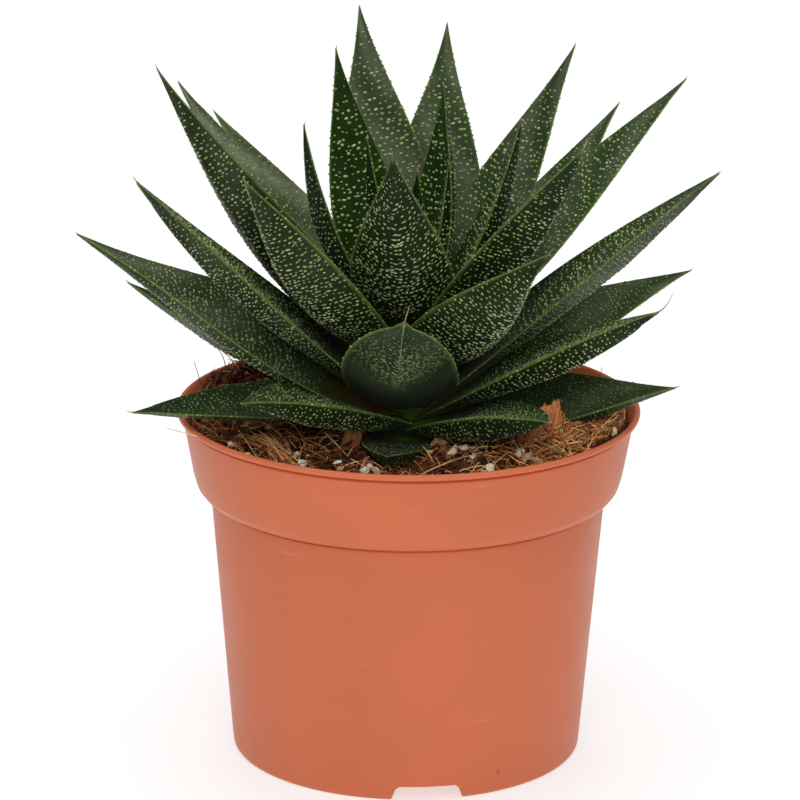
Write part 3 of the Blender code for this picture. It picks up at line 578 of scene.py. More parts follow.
def leaf_axis(leaf):
    """Centres, side vectors and upper normals at even steps along a leaf."""
    between = (np.arange(AXIS_STEPS) + 0.5) / AXIS_STEPS
    steps = headings(leaf.turn + leaf.sway * between, leaf.rise + leaf.curl * between)
    root = np.array([0.0, 0.0, leaf.root])
    centres = np.vstack([root, root + np.cumsum(steps * leaf.length / AXIS_STEPS, axis=0)])
    shares = np.linspace(0.0, 1.0, AXIS_STEPS + 1)
    heading = headings(leaf.turn + leaf.sway * shares, leaf.rise + leaf.curl * shares)
    level_side = headings(leaf.turn + leaf.sway * shares - 90.0, 0.0 * shares)
    roll = np.radians(leaf.roll + leaf.twist * shares)[:, None]
    side = level_side * np.cos(roll) + np.cross(heading, level_side) * np.sin(roll)
    return shares, centres, side, np.cross(side, heading)


def along_axis(axis, along):
    """The axis read at any shares of the length."""
    columns = [[np.interp(along, axis[0], values[:, k]) for k in range(3)] for values in axis[1:]]
    return [np.stack(column, axis=-1) for column in columns]


def undulation(leaf, along, place, level):
    """Low swells of the skin, in millimetres."""
    phase = leaf.turn * 0.37 + leaf.rise
    first = np.sin(along * leaf.length / 5.1 + 2.1 * place + phase)
    second = np.sin(along * leaf.length / 2.9 - 3.3 * place + 1.7 * phase + level)
    return (0.10 * first + 0.06 * second) * smooth_step(0.15, 0.4, along) * (1.0 - along) * 1.6


def underside(leaf, along, place, half):
    """How far the underside hangs at each place, and how far the place moves towards the keel."""
    fullness = KEEL_AT_BASE + (1.0 - KEEL_AT_BASE) * np.minimum(1.0, along / KEEL_FULL_AT)
    keel = leaf.depth * leaf.width / 2 * (2 * half / leaf.width) ** KEEL_TAPER * fullness
    offset = leaf.keel * np.minimum(1.0, along / WIDEST_AT)
    return keel * (1.0 - np.abs(place) ** (2.2 - 1.1 * along)), offset * (1 - place**2)


def leaf_points(leaf, axis, along, place, level):
    """Points of the skin. place runs across from -1 to 1; level is 1 on top, -1 below, else on the edge."""
    half = half_width(leaf, along)
    belly, offset = underside(leaf, along, place, half)
    channel = CHANNEL_SHARE * half * (1.0 - along)
    edge = np.minimum(EDGE_HALF_THICKNESS, 0.08 + 0.12 * half)
    bulge = np.sign(place) * edge * EDGE_BULGE * np.sqrt(np.maximum(0.0, 1.0 - level**2))
    swell = undulation(leaf, along, place, level) * (1 - place**2)
    sideways = (place + offset * (level < 0)) * half + bulge
    upward = edge * level + np.where(level > 0, swell - channel * (1 - place**2), -belly - swell)
    centre, side, normal = along_axis(axis, along)
    return centre + side * sideways[..., None] + normal * upward[..., None]


def painted_sheen_share(leaf, along, place, level):
    """How much pale painted sheen the skin gets, standing in for grazing reflection: more in its middle and
    in long patches.
    """
    upper, lower = look_of(leaf).frost
    patches = 0.65 + 0.35 * np.sin(along * leaf.length / 5.0 + 2.8 * place + leaf.turn)
    return np.where(level > 0, upper, lower) * smooth_step(0.14, 0.5, along) * patches


def leaf_tint(leaf, along, place, level, draw):
    """Dark green skin with pale painted sheen, olive to brown at the base, pale at the margins, brown at
    the tip.
    """
    shade = 0.88 + 0.24 * draw.random()
    colour = mix(SKIN_DARK * shade, SKIN_UPPER * shade, smooth_step(-0.5, 0.5, level))
    # mix in the painted sheen: pale grey that stands in for grazing reflection
    colour = mix(colour, SKIN_PAINTED_SHEEN, painted_sheen_share(leaf, along, place, level))
    base = mix(SKIN_BASE, SKIN_BASE_BROWN, 0.5 + 0.5 * np.sin(4.0 * place + leaf.turn))
    colour = mix(base, colour, smooth_step(0.10, 0.30, along))
    rim = smooth_step(0.97, 1.0, np.abs(place)) * smooth_step(0.10, 0.25, along)
    colour = mix(colour, SKIN_MARGIN, 0.65 * rim)
    return mix(colour, SKIN_TIP, smooth_step(0.955, 0.985, along))


def column_places():
    """place and level of each column, once round the leaf from its left edge over the top."""
    upper = np.sin(np.linspace(-0.5, 0.5, UPPER_COLUMNS) * math.pi)
    lower = np.sin(np.linspace(0.5, -0.5, LOWER_COLUMNS) * math.pi)
    edge = np.array(EDGE_LEVELS)
    place = np.concatenate([upper, np.ones(len(edge)), lower, -np.ones(len(edge))])
    level = np.concatenate([np.ones(UPPER_COLUMNS), edge, -np.ones(LOWER_COLUMNS), edge[::-1]])
    return place, level


def leaf_skin(leaf, axis, draw):
    """(points, face groups, tint) of a closed leaf without its tubercles."""
    rows = max(LEAST_ROWS, round(leaf.length / ROW_PITCH))
    along = BODY_END * (1.0 - (1.0 - np.linspace(0.0, 1.0, rows)) ** 1.2)
    place, level = column_places()
    columns = len(place)
    grid = [a.ravel() for a in np.broadcast_arrays(along[:, None], place[None, :], level[None, :])]
    caps = np.array([range(columns - 1, -1, -1), range((rows - 1) * columns, rows * columns)])
    return leaf_points(leaf, axis, *grid), [ring_quads(rows, columns), caps], leaf_tint(leaf, *grid, draw)


def girth(leaf, along, half, level):
    """Places across a face, and how far each lies from the first along the skin."""
    ruler = np.linspace(-1.0, 1.0, GIRTH_STEPS)
    belly, offset = underside(leaf, along, ruler, half)
    steps = np.hypot(np.diff((ruler + offset * (level < 0)) * half), np.diff(belly * (level < 0)))
    return ruler, np.concatenate([[0.0], np.cumsum(steps)])


def tubercle_places(leaf, relief, level, draw):
    """Where the tubercles of one face stand, in bent bands across it, with their size."""
    first = relief.first
    bands = int((0.975 - first) * leaf.length / relief.pitch)
    along, place = [], []
    for band in range(bands):
        middle = first + (band + 0.5) * relief.pitch / leaf.length
        half = float(half_width(leaf, np.array(middle)))
        ruler, reach = girth(leaf, middle, half, level)
        inner = reach[-1] - 2 * BARE_MARGIN
        count = int(inner / relief.spacing)
        if count < 1:
            continue
        spots = (np.arange(count) + draw.uniform(0.0, 1.0) + draw.uniform(-0.3, 0.3, count)) / count
        spots = np.interp(BARE_MARGIN + np.clip(spots, 0.0, 1.0) * inner, reach, ruler)
        bend = relief.arc * half * (spots**2 - 0.35)
        wave = 0.30 * np.sin(spots * half / 2.3 + band * 0.9) + draw.uniform(-0.28, 0.28, count)
        along.append(middle + (bend + wave * relief.pitch) / leaf.length)
        place.append(spots)
    along, place = np.concatenate(along), np.concatenate(place)
    fade = smooth_step(first, first + 0.2, along)
    kept = draw.random(len(along)) < relief.share * (0.35 + 0.65 * fade)
    kept &= (along > first) & (along < TUBERCLE_END)
    along, place, fade = along[kept], place[kept], fade[kept]
    size = draw.uniform(0.66, 1.16, len(along)) * (0.55 + 0.45 * fade)
    return along, place, size * (1.0 - 0.45 * smooth_step(0.72, 1.0, along))


def skin_directions(leaf, axis, along, place, level):
    """Outward normal, crosswise and lengthwise directions of the skin at given places."""
    step = SKIN_STEP
    right = leaf_points(leaf, axis, along, place + step, level)
    left = leaf_points(leaf, axis, along, place - step, level)
    tipward = leaf_points(leaf, axis, along + step, place, level)
    rootward = leaf_points(leaf, axis, along - step, place, level)
    across = unit(right - left)
    ahead = tipward - rootward
    return unit(np.cross(ahead, across)) * -np.sign(level)[:, None], across, unit(ahead)


def domes(centres, normals, across, wide, long, height, tint):
    """(points, face groups, tint) of closed low domes sunk a little into what carries them."""
    angles = circle(TUBERCLE_SIDES)[:, None]
    second = unit(np.cross(normals, across))
    first = np.cross(second, normals)
    ring = centres[:, None] - normals[:, None] * TUBERCLE_SINK
    ring = ring + first[:, None] * (np.cos(angles) * wide[:, None, None])
    ring = ring + second[:, None] * (np.sin(angles) * long[:, None, None])
    apex = centres + normals * height[:, None]
    points = np.concatenate([ring, apex[:, None]], axis=1).reshape(-1, 3)
    start = (np.arange(len(centres)) * (TUBERCLE_SIDES + 1))[:, None]
    sides = np.arange(TUBERCLE_SIDES)
    rim, beside = start + sides, start + (sides + 1) % TUBERCLE_SIDES
    top = np.broadcast_to(start + TUBERCLE_SIDES, rim.shape)
    triangles = np.stack([rim, beside, top], axis=-1).reshape(-1, 3)
    # the foot ring is painted darker than the apex: painted shade where the dome meets the skin
    shade = np.concatenate([np.full(TUBERCLE_SIDES, DOME_FOOT_SHADE), [1.0]])
    colours = (tint[:, None] * shade[:, None]).reshape(-1, 3)
    return points, [triangles, rim[:, ::-1]], colours


def tubercles(leaf, axis, level, draw):
    look = look_of(leaf)
    relief = look.upper if level > 0 else look.lower
    along, place, size = tubercle_places(leaf, relief, level, draw)
    count = len(along)
    levels = np.full(count, float(level))
    centres = leaf_points(leaf, axis, along, place, levels)
    normals, across, ahead = skin_directions(leaf, axis, along, place, levels)
    lean = 2.0 * relief.arc * place + draw.uniform(-0.25, 0.25, count)
    across = unit(across + ahead * lean[:, None])
    green = smooth_step(0.25, 0.9, np.abs(place)) * 0.6 + draw.uniform(-0.2, 0.4, count)
    green = green + 0.35 * (level > 0)
    tint = mix(WART_PALE, WART_GREEN, np.clip(green, 0.0, 1.0))
    # the tubercles take the same painted sheen, pale grey standing in for grazing reflection
    tint = mix(tint, WART_PAINTED_SHEEN, np.clip(1.3 * painted_sheen_share(leaf, along, place, levels), 0.0, 0.8))
    # look.light darkens the tubercles of leaves that lie low or in shade: painted shade on top of their own
    # varied tone
    tint = tint * draw.uniform(0.56, 1.06, (count, 1)) * look.light
    grown = smooth_step(relief.first, relief.first + 0.31, along)
    tint = mix(SKIN_UPPER * 1.4, tint, 0.12 + 0.88 * grown)
    wide = relief.wide * size * (1.0 + 0.5 * (draw.random(count) < 0.12))
    return domes(centres, normals, across, wide, relief.long * size, relief.height * size, tint)


def margin_teeth(leaf, axis, sign, draw):
    """The uneven row of tiny teeth along one margin."""
    count = int(TEETH_REACH * leaf.length / TOOTH_PITCH)
    along = TEETH_START + TEETH_REACH * (np.arange(count) + draw.uniform(-0.4, 0.4, count)) / count
    place, level = np.full(count, float(sign)), np.zeros(count)
    centres = leaf_points(leaf, axis, along, place, level)
    _, side, normal = along_axis(axis, along)
    outward = side * sign
    big = draw.random(count) < BIG_TOOTH_SHARE
    size = np.where(big, draw.uniform(0.30, 0.42, count), draw.uniform(0.16, 0.25, count))
    size = size * (1.0 - 0.5 * smooth_step(0.85, 0.98, along))
    ahead = unit(np.cross(outward, normal))
    tint = mix(WART_GREEN, SKIN_MARGIN, draw.uniform(0.2, 1.0, count))
    return domes(centres, outward, ahead, size * 1.15, size * 0.8, size * (1.0 + 0.25 * big), tint)


def closed_tube(middles, across, up, radii, sides):
    """(points, face groups) of a tube; each ring turns from across to up round its middle."""
    angles = circle(sides)[:, None]
    ring = across[:, None] * np.cos(angles) + up[:, None] * np.sin(angles)
    points = (middles[:, None] + ring * radii[:, None, None]).reshape(-1, 3)
    last = len(points) - sides
    caps = np.array([range(sides), range(last + sides - 1, last - 1, -1)])
    return points, [ring_quads(len(middles), sides)[:, [0, 3, 2, 1]], caps]


def tube(middles, radii, sides, colour):
    """(points, face groups, tint) of a closed tube through the middles."""
    ahead = unit(np.gradient(middles, axis=0))
    reference = np.where(np.abs(ahead[:, 2:3]) > 0.9, [[1.0, 0.0, 0.0]], [[0.0, 0.0, 1.0]])
    across = unit(np.cross(ahead, reference))
    points, groups = closed_tube(middles, across, np.cross(across, ahead), radii, sides)
    return points, groups, np.tile(colour, (len(points), 1))


def keel_line(leaf, axis):
    """The thin pale ridge on the keel that runs down from the tip, half sunk in the skin."""
    along = np.linspace(KEEL_LINE_START, BODY_END - 0.004, KEEL_LINE_STEPS)
    path = leaf_points(leaf, axis, along, 0.0 * along, np.full(KEEL_LINE_STEPS, -1.0))
    return tube(path, np.linspace(0.04, 0.15, KEEL_LINE_STEPS), 6, SKIN_KEEL)


def mucro(leaf, axis, draw):
    """The dry point at a leaf's tip, a closed tapered tube that bends upward."""
    start = BODY_END - 0.008
    centre, side, normal = [v[0] for v in along_axis(axis, np.array([start]))]
    heading = np.cross(normal, side)
    heading = heading * np.sign(heading @ headings(leaf.turn, leaf.rise + leaf.curl * start))
    chance = (draw.uniform(-0.4, 0.4), draw.uniform(0.1, 0.7))
    leftward, upward = look_of(leaf).bend or chance
    bend = side * leftward + normal * upward
    length = look_of(leaf).point * draw.uniform(0.95, 1.1)
    shares = np.linspace(0.0, 1.0, MUCRO_STEPS)
    share = shares[:, None]
    middles = centre + heading * length * share + bend * length * 0.5 * share**2
    radii = 0.17 * (1.0 - shares) ** 0.7 + 0.05
    points, groups = closed_tube(middles, side[None], normal[None], radii, MUCRO_SIDES)
    return points, groups, np.repeat(mix(SKIN_TIP, MUCRO_END, shares), MUCRO_SIDES, axis=0)


def make_leaves(surface):
    for number, leaf in enumerate(LEAVES):
        draw = np.random.default_rng(100 + number)
        axis = leaf_axis(leaf)
        parts = [leaf_skin(leaf, axis, draw)]
        parts += [tubercles(leaf, axis, level, draw) for level in (-1, 1)]
        parts += [margin_teeth(leaf, axis, sign, draw) for sign in (-1, 1)]
        parts.append(mucro(leaf, axis, draw))
        if look_of(leaf).line:
            parts.append(keel_line(leaf, axis))
        piece = build_mesh(leaf.name + "_skin", surface, "leaf", *joined(parts))
        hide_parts(leaf.name)


# Pot


def pot_profile():
    """From the middle of the underside, out over the foot, up the outside and back down inside."""
    outside = [
        (0.0, 0.0),
        (CENTRE_FOOT_RADIUS, 0.0),
        (CENTRE_FOOT_RADIUS + 0.8, FLOOR_BOTTOM),
        (FOOT_INNER_RADIUS - 0.6, FLOOR_BOTTOM),
        (FOOT_INNER_RADIUS, 0.0),
        (FOOT_RADIUS, 0.0),
        (FOOT_RADIUS + 0.7, 1.0),
        (BODY_FOOT_RADIUS, 4.0),
        (BODY_TOP_RADIUS - 0.1, BODY_TOP_Z - 0.6),
        (BODY_TOP_RADIUS - SHOULDER_UNDERCUT, BODY_TOP_Z - 0.2),
        (BODY_TOP_RADIUS - SHOULDER_UNDERCUT, BODY_TOP_Z + 0.3),
        (BODY_TOP_RADIUS + 1.0, BODY_TOP_Z + 0.25),
        (BODY_TOP_RADIUS + 2.2, BODY_TOP_Z + 0.8),
        (COLLAR_FOOT_RADIUS - 0.9, COLLAR_FOOT_Z - 3.2),
        (COLLAR_FOOT_RADIUS, COLLAR_FOOT_Z),
        (COLLAR_TOP_RADIUS - 0.1, POT_HEIGHT - LIP_THICKNESS - 1.0),
        (COLLAR_TOP_RADIUS - LIP_UNDERCUT, POT_HEIGHT - LIP_THICKNESS - 0.6),
        (COLLAR_TOP_RADIUS - LIP_UNDERCUT, POT_HEIGHT - LIP_THICKNESS - 0.1),
        (RIM_RADIUS - 0.2, POT_HEIGHT - LIP_THICKNESS + 0.1),
        (RIM_RADIUS, POT_HEIGHT - 0.6),
        (RIM_RADIUS - 0.5, POT_HEIGHT),
        (RIM_INNER_RADIUS + 0.5, POT_HEIGHT),
        (RIM_INNER_RADIUS, POT_HEIGHT - 0.6),
    ]
    return outside + pot_inside() + [(0.0, FLOOR_TOP)]


def pot_inside():
    """The inner wall from just below the rim down to the floor."""
    return [
        (COLLAR_INSIDE_TOP_RADIUS, COLLAR_INSIDE_TOP_Z),
        (COLLAR_FOOT_RADIUS - WALL, COLLAR_FOOT_Z + 0.2),
        (COLLAR_FOOT_RADIUS - WALL - 1.0, COLLAR_FOOT_Z - 2.4),
        (BODY_TOP_RADIUS + 0.4, BODY_TOP_Z + 1.9),
        (BODY_TOP_RADIUS - WALL, BODY_TOP_Z + 0.4),
        (BODY_FOOT_RADIUS - WALL, FLOOR_TOP + 1.6),
        (BODY_FOOT_RADIUS - WALL - 1.2, FLOOR_TOP),
    ]


def collar_inside(height):
    """Radius of the collar's inner wall at a height."""
    widening = COLLAR_TOP_RADIUS - COLLAR_FOOT_RADIUS - 0.1
    slope = widening / (COLLAR_INSIDE_TOP_Z - COLLAR_FOOT_Z)
    return COLLAR_FOOT_RADIUS - WALL + slope * (height - COLLAR_FOOT_Z)


def filleted(outline, radius):
    """The outline with each inner corner replaced by a short curve."""
    rounded = [outline[0]]
    for before, corner, after in zip(outline, outline[1:], outline[2:]):
        before, corner, after = (np.array(p) for p in (before, corner, after))
        into, out = before - corner, after - corner
        reach = min(radius, 0.4 * np.linalg.norm(into), 0.4 * np.linalg.norm(out))
        start, finish = corner + unit(into) * reach, corner + unit(out) * reach
        for share in (0.0, 0.33, 0.67, 1.0):
            first = start + (corner - start) * share
            second = corner + (finish - corner) * share
            rounded.append(tuple(first + (second - first) * share))
    return rounded + [outline[-1]]


def level_ring(count, radius, height, first=0.0):
    angles = circle(count, first)
    return np.stack([radius * np.cos(angles), radius * np.sin(angles), np.full(count, height)], axis=1)


def turned_shape(profile, segments):
    """(points, face groups) of a profile of (radius, height) turned about Z; radius 0 closes an end."""
    rings = [level_ring(segments, radius, height) for radius, height in profile[1:-1]]
    points = np.concatenate([[(0.0, 0.0, profile[0][1])], *rings, [(0.0, 0.0, profile[-1][1])]])
    side = np.arange(segments)
    beside = (side + 1) % segments
    first = np.stack([0 * side, 1 + beside, 1 + side], axis=1)
    low, end = len(points) - 1 - segments, len(points) - 1
    last = np.stack([low + side, low + beside, 0 * side + end], axis=1)
    return points, [ring_quads(len(rings), segments, 1), np.concatenate([first, last])]


def prism(name, near, far):
    """A closed cutter between two outlines with the same number of points."""
    work = bmesh.new()
    ends = [[work.verts.new(Vector(p) * MM) for p in outline] for outline in (near, far)]
    for end in ends:
        work.faces.new(end)
    for i in range(len(near)):
        j = (i + 1) % len(near)
        work.faces.new((ends[0][i], ends[0][j], ends[1][j], ends[1][i]))
    bmesh.ops.recalc_face_normals(work, faces=work.faces[:])
    mesh = bpy.data.meshes.new(name)
    work.to_mesh(mesh)
    work.free()
    return bpy.data.objects.new(name, mesh)


def notch_cutter(turn):
    outline = [
        (NOTCH_FOOT_HALF_WIDTH + 0.4, -1.0),
        (NOTCH_TOP_HALF_WIDTH + 1.1, 0.8),
        (NOTCH_TOP_HALF_WIDTH + 0.3, NOTCH_HEIGHT - 0.8),
        (NOTCH_TOP_HALF_WIDTH - 0.7, NOTCH_HEIGHT),
    ]
    outline += [(-across, up) for across, up in reversed(outline)]
    outward, side = headings(turn, 0.0), headings(turn + 90.0, 0.0)
    ends = []
    for distance in (FOOT_INNER_RADIUS - 4.0, FOOT_RADIUS + 5.0):
        middle = outward * distance
        ends.append([middle + side * across + (0.0, 0.0, up) for across, up in outline])
    return prism("notch_cutter", *ends)


def hole_cutter(turn):
    centre = headings(turn, 0.0) * HOLE_CIRCLE_RADIUS
    heights = (FLOOR_TOP + 1.0, FLOOR_BOTTOM - 1.0)
    return prism("hole_cutter", *[centre + level_ring(HOLE_SIDES, HOLE_RADIUS, z, 0.3) for z in heights])


def cut_away(piece, cutters):
    """Apply a Boolean that takes every cutter from the piece, then remove the cutters."""
    group = bpy.data.collections.new("cutters")
    bpy.context.scene.collection.children.link(group)
    for cutter in cutters:
        group.objects.link(cutter)
    modifier = piece.modifiers.new("cut", "BOOLEAN")
    modifier.operation = "DIFFERENCE"
    modifier.solver = "EXACT"
    modifier.operand_type = "COLLECTION"
    modifier.collection = group
    graph = bpy.context.evaluated_depsgraph_get()
    result = bpy.data.meshes.new_from_object(piece.evaluated_get(graph))
    piece.modifiers.remove(modifier)
    piece.data = result
    for cutter in cutters:
        bpy.data.objects.remove(cutter, do_unlink=True)
    bpy.data.collections.remove(group)


def make_pot(surface):
    shape = turned_shape(filleted(pot_profile(), POT_FILLET), POT_SEGMENTS)
    pot = build_mesh("pot_moulding", surface, "pot", *shape)
    cutters = [notch_cutter(NOTCH_TURN + 360.0 * i / NOTCH_COUNT) for i in range(NOTCH_COUNT)]
    cutters += [hole_cutter(HOLE_TURN + 360.0 * i / HOLE_COUNT) for i in range(HOLE_COUNT)]
    cut_away(pot, cutters)
    pot.data.shade_smooth()
    pot.data.set_sharp_from_angle(angle=math.radians(POT_SHARP_ANGLE))
    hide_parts("pot")


# Soil


def cad_leaf_tree():
    """One search tree of all the solid leaves, in millimetres."""
    points, faces = [], []
    for leaf in LEAVES:
        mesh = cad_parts[leaf.name].data
        start = len(points)
        points += [v.co / MM for v in mesh.vertices]
        faces += [[start + i for i in polygon.vertices] for polygon in mesh.polygons]
    return BVHTree.FromPolygons(points, faces)


def soil_height(x, y):
    """A low mound with heaps of coir at the left rear and the right front, and crumbs all over."""
    reach = math.hypot(x, y) / RIM_INNER_RADIUS
    heap = math.hypot(x - HEAP_PLACE[0], y - HEAP_PLACE[1]) / HEAP_RADIUS
    mat = math.hypot(x - MAT_PLACE[0], y - MAT_PLACE[1]) / MAT_RADIUS
    height = SOIL_EDGE_Z + 1.1 + SOIL_MOUND * (1.0 - reach**2) + HEAP_HEIGHT * math.exp(-(heap**2))
    height += MAT_HEIGHT * math.exp(-(mat**2))
    rough = noise.noise(Vector((x, y, 0.0)) / 6.0) + 0.6 * noise.noise(Vector((x, y, 30.0)) / 2.7)
    crumbs = noise.noise(Vector((x, y, 60.0)) / 1.3) + 0.5 * noise.noise(Vector((x, y, 90.0)) / 0.6)
    return height + SOIL_ROUGHNESS * rough + CRUMB_RELIEF * crumbs


def make_soil(surface, leaf_tree):
    """The bed: level rings up the pot's inside, then rings inward that take the soil's height."""
    side = [(radius - SOIL_WALL_GAP, z + SOIL_WALL_GAP) for radius, z in reversed(pot_inside()[1:])]
    edge_radius = collar_inside(SOIL_EDGE_Z) - SOIL_WALL_GAP
    ring_count = int((edge_radius - SOIL_INNER_RADIUS) / SOIL_RING_PITCH)
    top = [(edge_radius - i * SOIL_RING_PITCH, SOIL_EDGE_Z) for i in range(ring_count)]
    profile = [(0.0, side[0][1])] + side + top + [(0.0, SOIL_EDGE_Z - 2.0)]
    points, groups = turned_shape(profile, SOIL_SPOKES)
    tint = np.tile(CRUMB_TINTS[0], (len(points), 1))
    up = Vector((0.0, 0.0, 1.0))
    for index in range(1 + len(side) * SOIL_SPOKES, len(points) - 1):
        x, y, _ = points[index]
        reach = math.hypot(x, y) / edge_radius
        height = soil_height(x, y)
        hit = leaf_tree.ray_cast(Vector((x, y, SOIL_EDGE_Z - 14.0)), up, 30.0)[0]
        if hit:
            height = min(height, hit.z - LEAF_PRESS_GAP)
        if reach > 0.9:
            height = min(height, POT_HEIGHT + 0.6)
        wall = min(collar_inside(height), RIM_INNER_RADIUS - 0.7) - SOIL_WALL_GAP
        points[index][:2] *= 1.0 + (wall / edge_radius - 1.0) * reach**8
        points[index][2] = height
        share = 0.5 + 0.5 * noise.noise(Vector((x, y, 7.0)) / 3.0)
        tint[index] = mix(CRUMB_TINTS[3], CRUMB_TINTS[2], share)
    soil = build_mesh("soil_bed", surface, "soil", points, groups, tint)
    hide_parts("soil")
    polygons = [tuple(face) for group in groups for face in group]
    return BVHTree.FromPolygons([Vector(p) for p in points], polygons)


class Ground:
    """The soil bed and the solid leaves above it, as search trees."""

    def __init__(self, soil_tree, leaf_tree):
        self.soil_tree = soil_tree
        self.leaf_tree = leaf_tree

    def height(self, x, y):
        hit = self.soil_tree.ray_cast(Vector((x, y, POT_HEIGHT + 12.0)), Vector((0.0, 0.0, -1.0)), 40.0)[0]
        return hit.z if hit else SOIL_EDGE_Z

    def spot(self, x, y, lift=0.0):
        return np.array([x, y, self.height(x, y) + lift])

    def open_place(self, draw, reach, gap):
        """A random place on the soil with no leaf within the gap."""
        while True:
            angle = draw.uniform(0.0, 2 * math.pi)
            radius = math.sqrt(draw.uniform(reach[0] ** 2, reach[1] ** 2))
            x, y = radius * math.cos(angle), radius * math.sin(angle)
            place = Vector((x, y, self.height(x, y)))
            if self.leaf_tree.find_nearest(place, gap)[0] is None:
                return np.array(place)

    def clears(self, part):
        """Whether a part keeps its distance from the leaves."""
        return all(self.leaf_tree.find_nearest(Vector(p), FIBRE_GAP)[0] is None for p in part[0][::4])


def ball(subdivisions):
    """Points and triangles of a unit ball."""
    work = bmesh.new()
    bmesh.ops.create_icosphere(work, subdivisions=subdivisions, radius=1.0)
    points = np.array([v.co for v in work.verts])
    triangles = np.array([[v.index for v in face.verts] for face in work.faces])
    work.free()
    return points, triangles


def random_turn(draw):
    axis = unit(draw.normal(size=3))
    return np.array(Matrix.Rotation(draw.uniform(0.0, 2 * math.pi), 3, Vector(axis)))


def lumps(places, sizes, shape, jitter, tints, subdivisions, draw):
    """Parts for rough grains, each about its size across, with its own proportions and colour."""
    form, triangles = ball(subdivisions)
    parts = []
    for place, size in zip(places, sizes):
        ratio = np.array(shape) * draw.uniform(0.75, 1.25, 3)
        rough = 1.0 + draw.uniform(-jitter, jitter, (len(form), 1))
        points = (form * rough * ratio * size / 2) @ random_turn(draw).T + place
        colour = tints[draw.integers(len(tints))] * draw.uniform(0.75, 1.2)
        shade = draw.uniform(0.85, 1.1, (len(form), 1))
        parts.append((points, [triangles], colour * shade))
    return parts


def make_crumbs(surface, ground, draw):
    """Crumbs of coir all over, in the heap at the left rear and in a pale clump at the front."""
    places = [ground.open_place(draw, (14.0, SOIL_REACH), 0.8) for _ in range(CRUMB_COUNT)]
    sizes = draw.uniform(0.7, 2.2, CRUMB_COUNT)
    crumbs = lumps(places, sizes, (1.2, 0.9, 0.7), 0.28, CRUMB_TINTS, 1, draw)
    places = []
    while len(places) < HEAP_CRUMBS:
        x, y = draw.normal(HEAP_PLACE, HEAP_SPREAD)
        if math.hypot(x, y) < 54.0:
            places.append(ground.spot(x, y, 0.2))
    sizes = draw.uniform(0.8, 2.4, HEAP_CRUMBS)
    crumbs += lumps(places, sizes, (1.2, 0.9, 0.8), 0.3, HEAP_TINTS, 1, draw)
    places = []
    for _ in range(CLUMP_CRUMBS):
        x, y = draw.normal(CLUMP_PLACE, CLUMP_SPREAD)
        places.append(ground.spot(x, y, draw.uniform(0.0, 2.2)))
    sizes = draw.uniform(0.7, 1.6, CLUMP_CRUMBS)
    crumbs += lumps(places, sizes, (1.1, 0.9, 0.8), 0.3, CLUMP_TINTS, 1, draw)
    build_mesh("coir_crumbs", surface, "soil", *joined(crumbs), 30.0)


def make_chips(surface, ground, draw):
    places = [ground.open_place(draw, (16.0, 53.5), 2.0) for _ in range(CHIP_COUNT)]
    sizes = draw.uniform(2.0, 5.0, CHIP_COUNT)
    chips = lumps(places, sizes, (1.3, 0.7, 0.4), 0.18, BARK_TINTS, 2, draw)
    build_mesh("bark_chips", surface, "soil", *joined(chips), 25.0)


def make_perlite(surface, ground, draw):
    places = [ground.open_place(draw, (16.0, 54.0), 1.2) for _ in range(PERLITE_COUNT)]
    sizes = [*draw.uniform(0.8, 2.2, PERLITE_COUNT)]
    for x, y, size in PERLITE_PLACES:
        places.append(ground.spot(x, y, 0.3 * size))
        sizes.append(size)
    grains = lumps(places, sizes, (1.25, 0.95, 0.8), 0.26, PERLITE_TINTS, 2, draw)
    build_mesh("perlite_grains", surface, "soil", *joined(grains), 22.0)


def strand(ground, place, turn, length, radius, lift, slope, curl, colour, draw):
    """A coir fibre that starts in the soil, arches over it and wanders as it goes."""
    x, y = place
    angle = math.radians(turn)
    middles = []
    for step in range(STRAND_STEPS):
        share = step / (STRAND_STEPS - 1)
        arch = lift * math.sin(math.pi * min(1.0, share * 1.05)) + slope * share
        middles.append((x, y, ground.height(x, y) - 0.3 + arch))
        angle += math.radians(curl) * draw.uniform(0.3, 1.7) / STRAND_STEPS
        x += math.cos(angle) * length / STRAND_STEPS
        y += math.sin(angle) * length / STRAND_STEPS
        reach = math.hypot(x, y)
        if reach > SOIL_REACH:
            x, y = x * SOIL_REACH / reach, y * SOIL_REACH / reach
    middles = np.array(middles)
    for _ in range(3):
        middles[1:-1, 2] = (middles[:-2, 2] + 2 * middles[1:-1, 2] + middles[2:, 2]) / 4
    radii = radius * (1.0 - 0.5 * np.linspace(0.0, 1.0, STRAND_STEPS))
    return tube(middles, radii, 4, colour)


def smooth_path(stops, steps):
    """A curve through the stops, read at even steps."""
    stops = np.array(stops)
    ends = np.vstack([2 * stops[0] - stops[1], stops, 2 * stops[-1] - stops[-2]])
    path = []
    for place in np.linspace(0.0, len(stops) - 1.001, steps):
        low = int(place)
        t = place - low
        a, b, c, d = ends[low : low + 4]
        square = (2 * a - 5 * b + 4 * c - d) * t**2
        cube = (3 * b - a - 3 * c + d) * t**3
        path.append(0.5 * (2 * b + (c - a) * t + square + cube))
    return np.array(path)


def make_roots(surface, ground):
    """Pale roots that lie on the soil, and loose hairs that stand up at the rim."""
    swell = 0.75 + 0.25 * np.sin(np.linspace(0.0, 9.0, ROOT_STEPS))
    parts = []
    for stops, radius in ROOTS:
        path = smooth_path([ground.spot(*stop) for stop in stops], ROOT_STEPS)
        parts.append(tube(path, radius * swell * np.linspace(1.0, 0.6, ROOT_STEPS), 6, ROOT_TINT))
    for x, y, tall, lean in HAIRS:
        stops = ground.spot(x, y) + [(0.0, 0.0, -0.5), (0.25 * lean, 0.0, 0.5 * tall), (lean, 0.0, tall)]
        radii = np.linspace(0.16, 0.08, HAIR_STEPS)
        parts.append(tube(smooth_path(stops, HAIR_STEPS), radii, 5, HAIR_TINT))
    build_mesh("pale_roots", surface, "soil", *joined(parts))


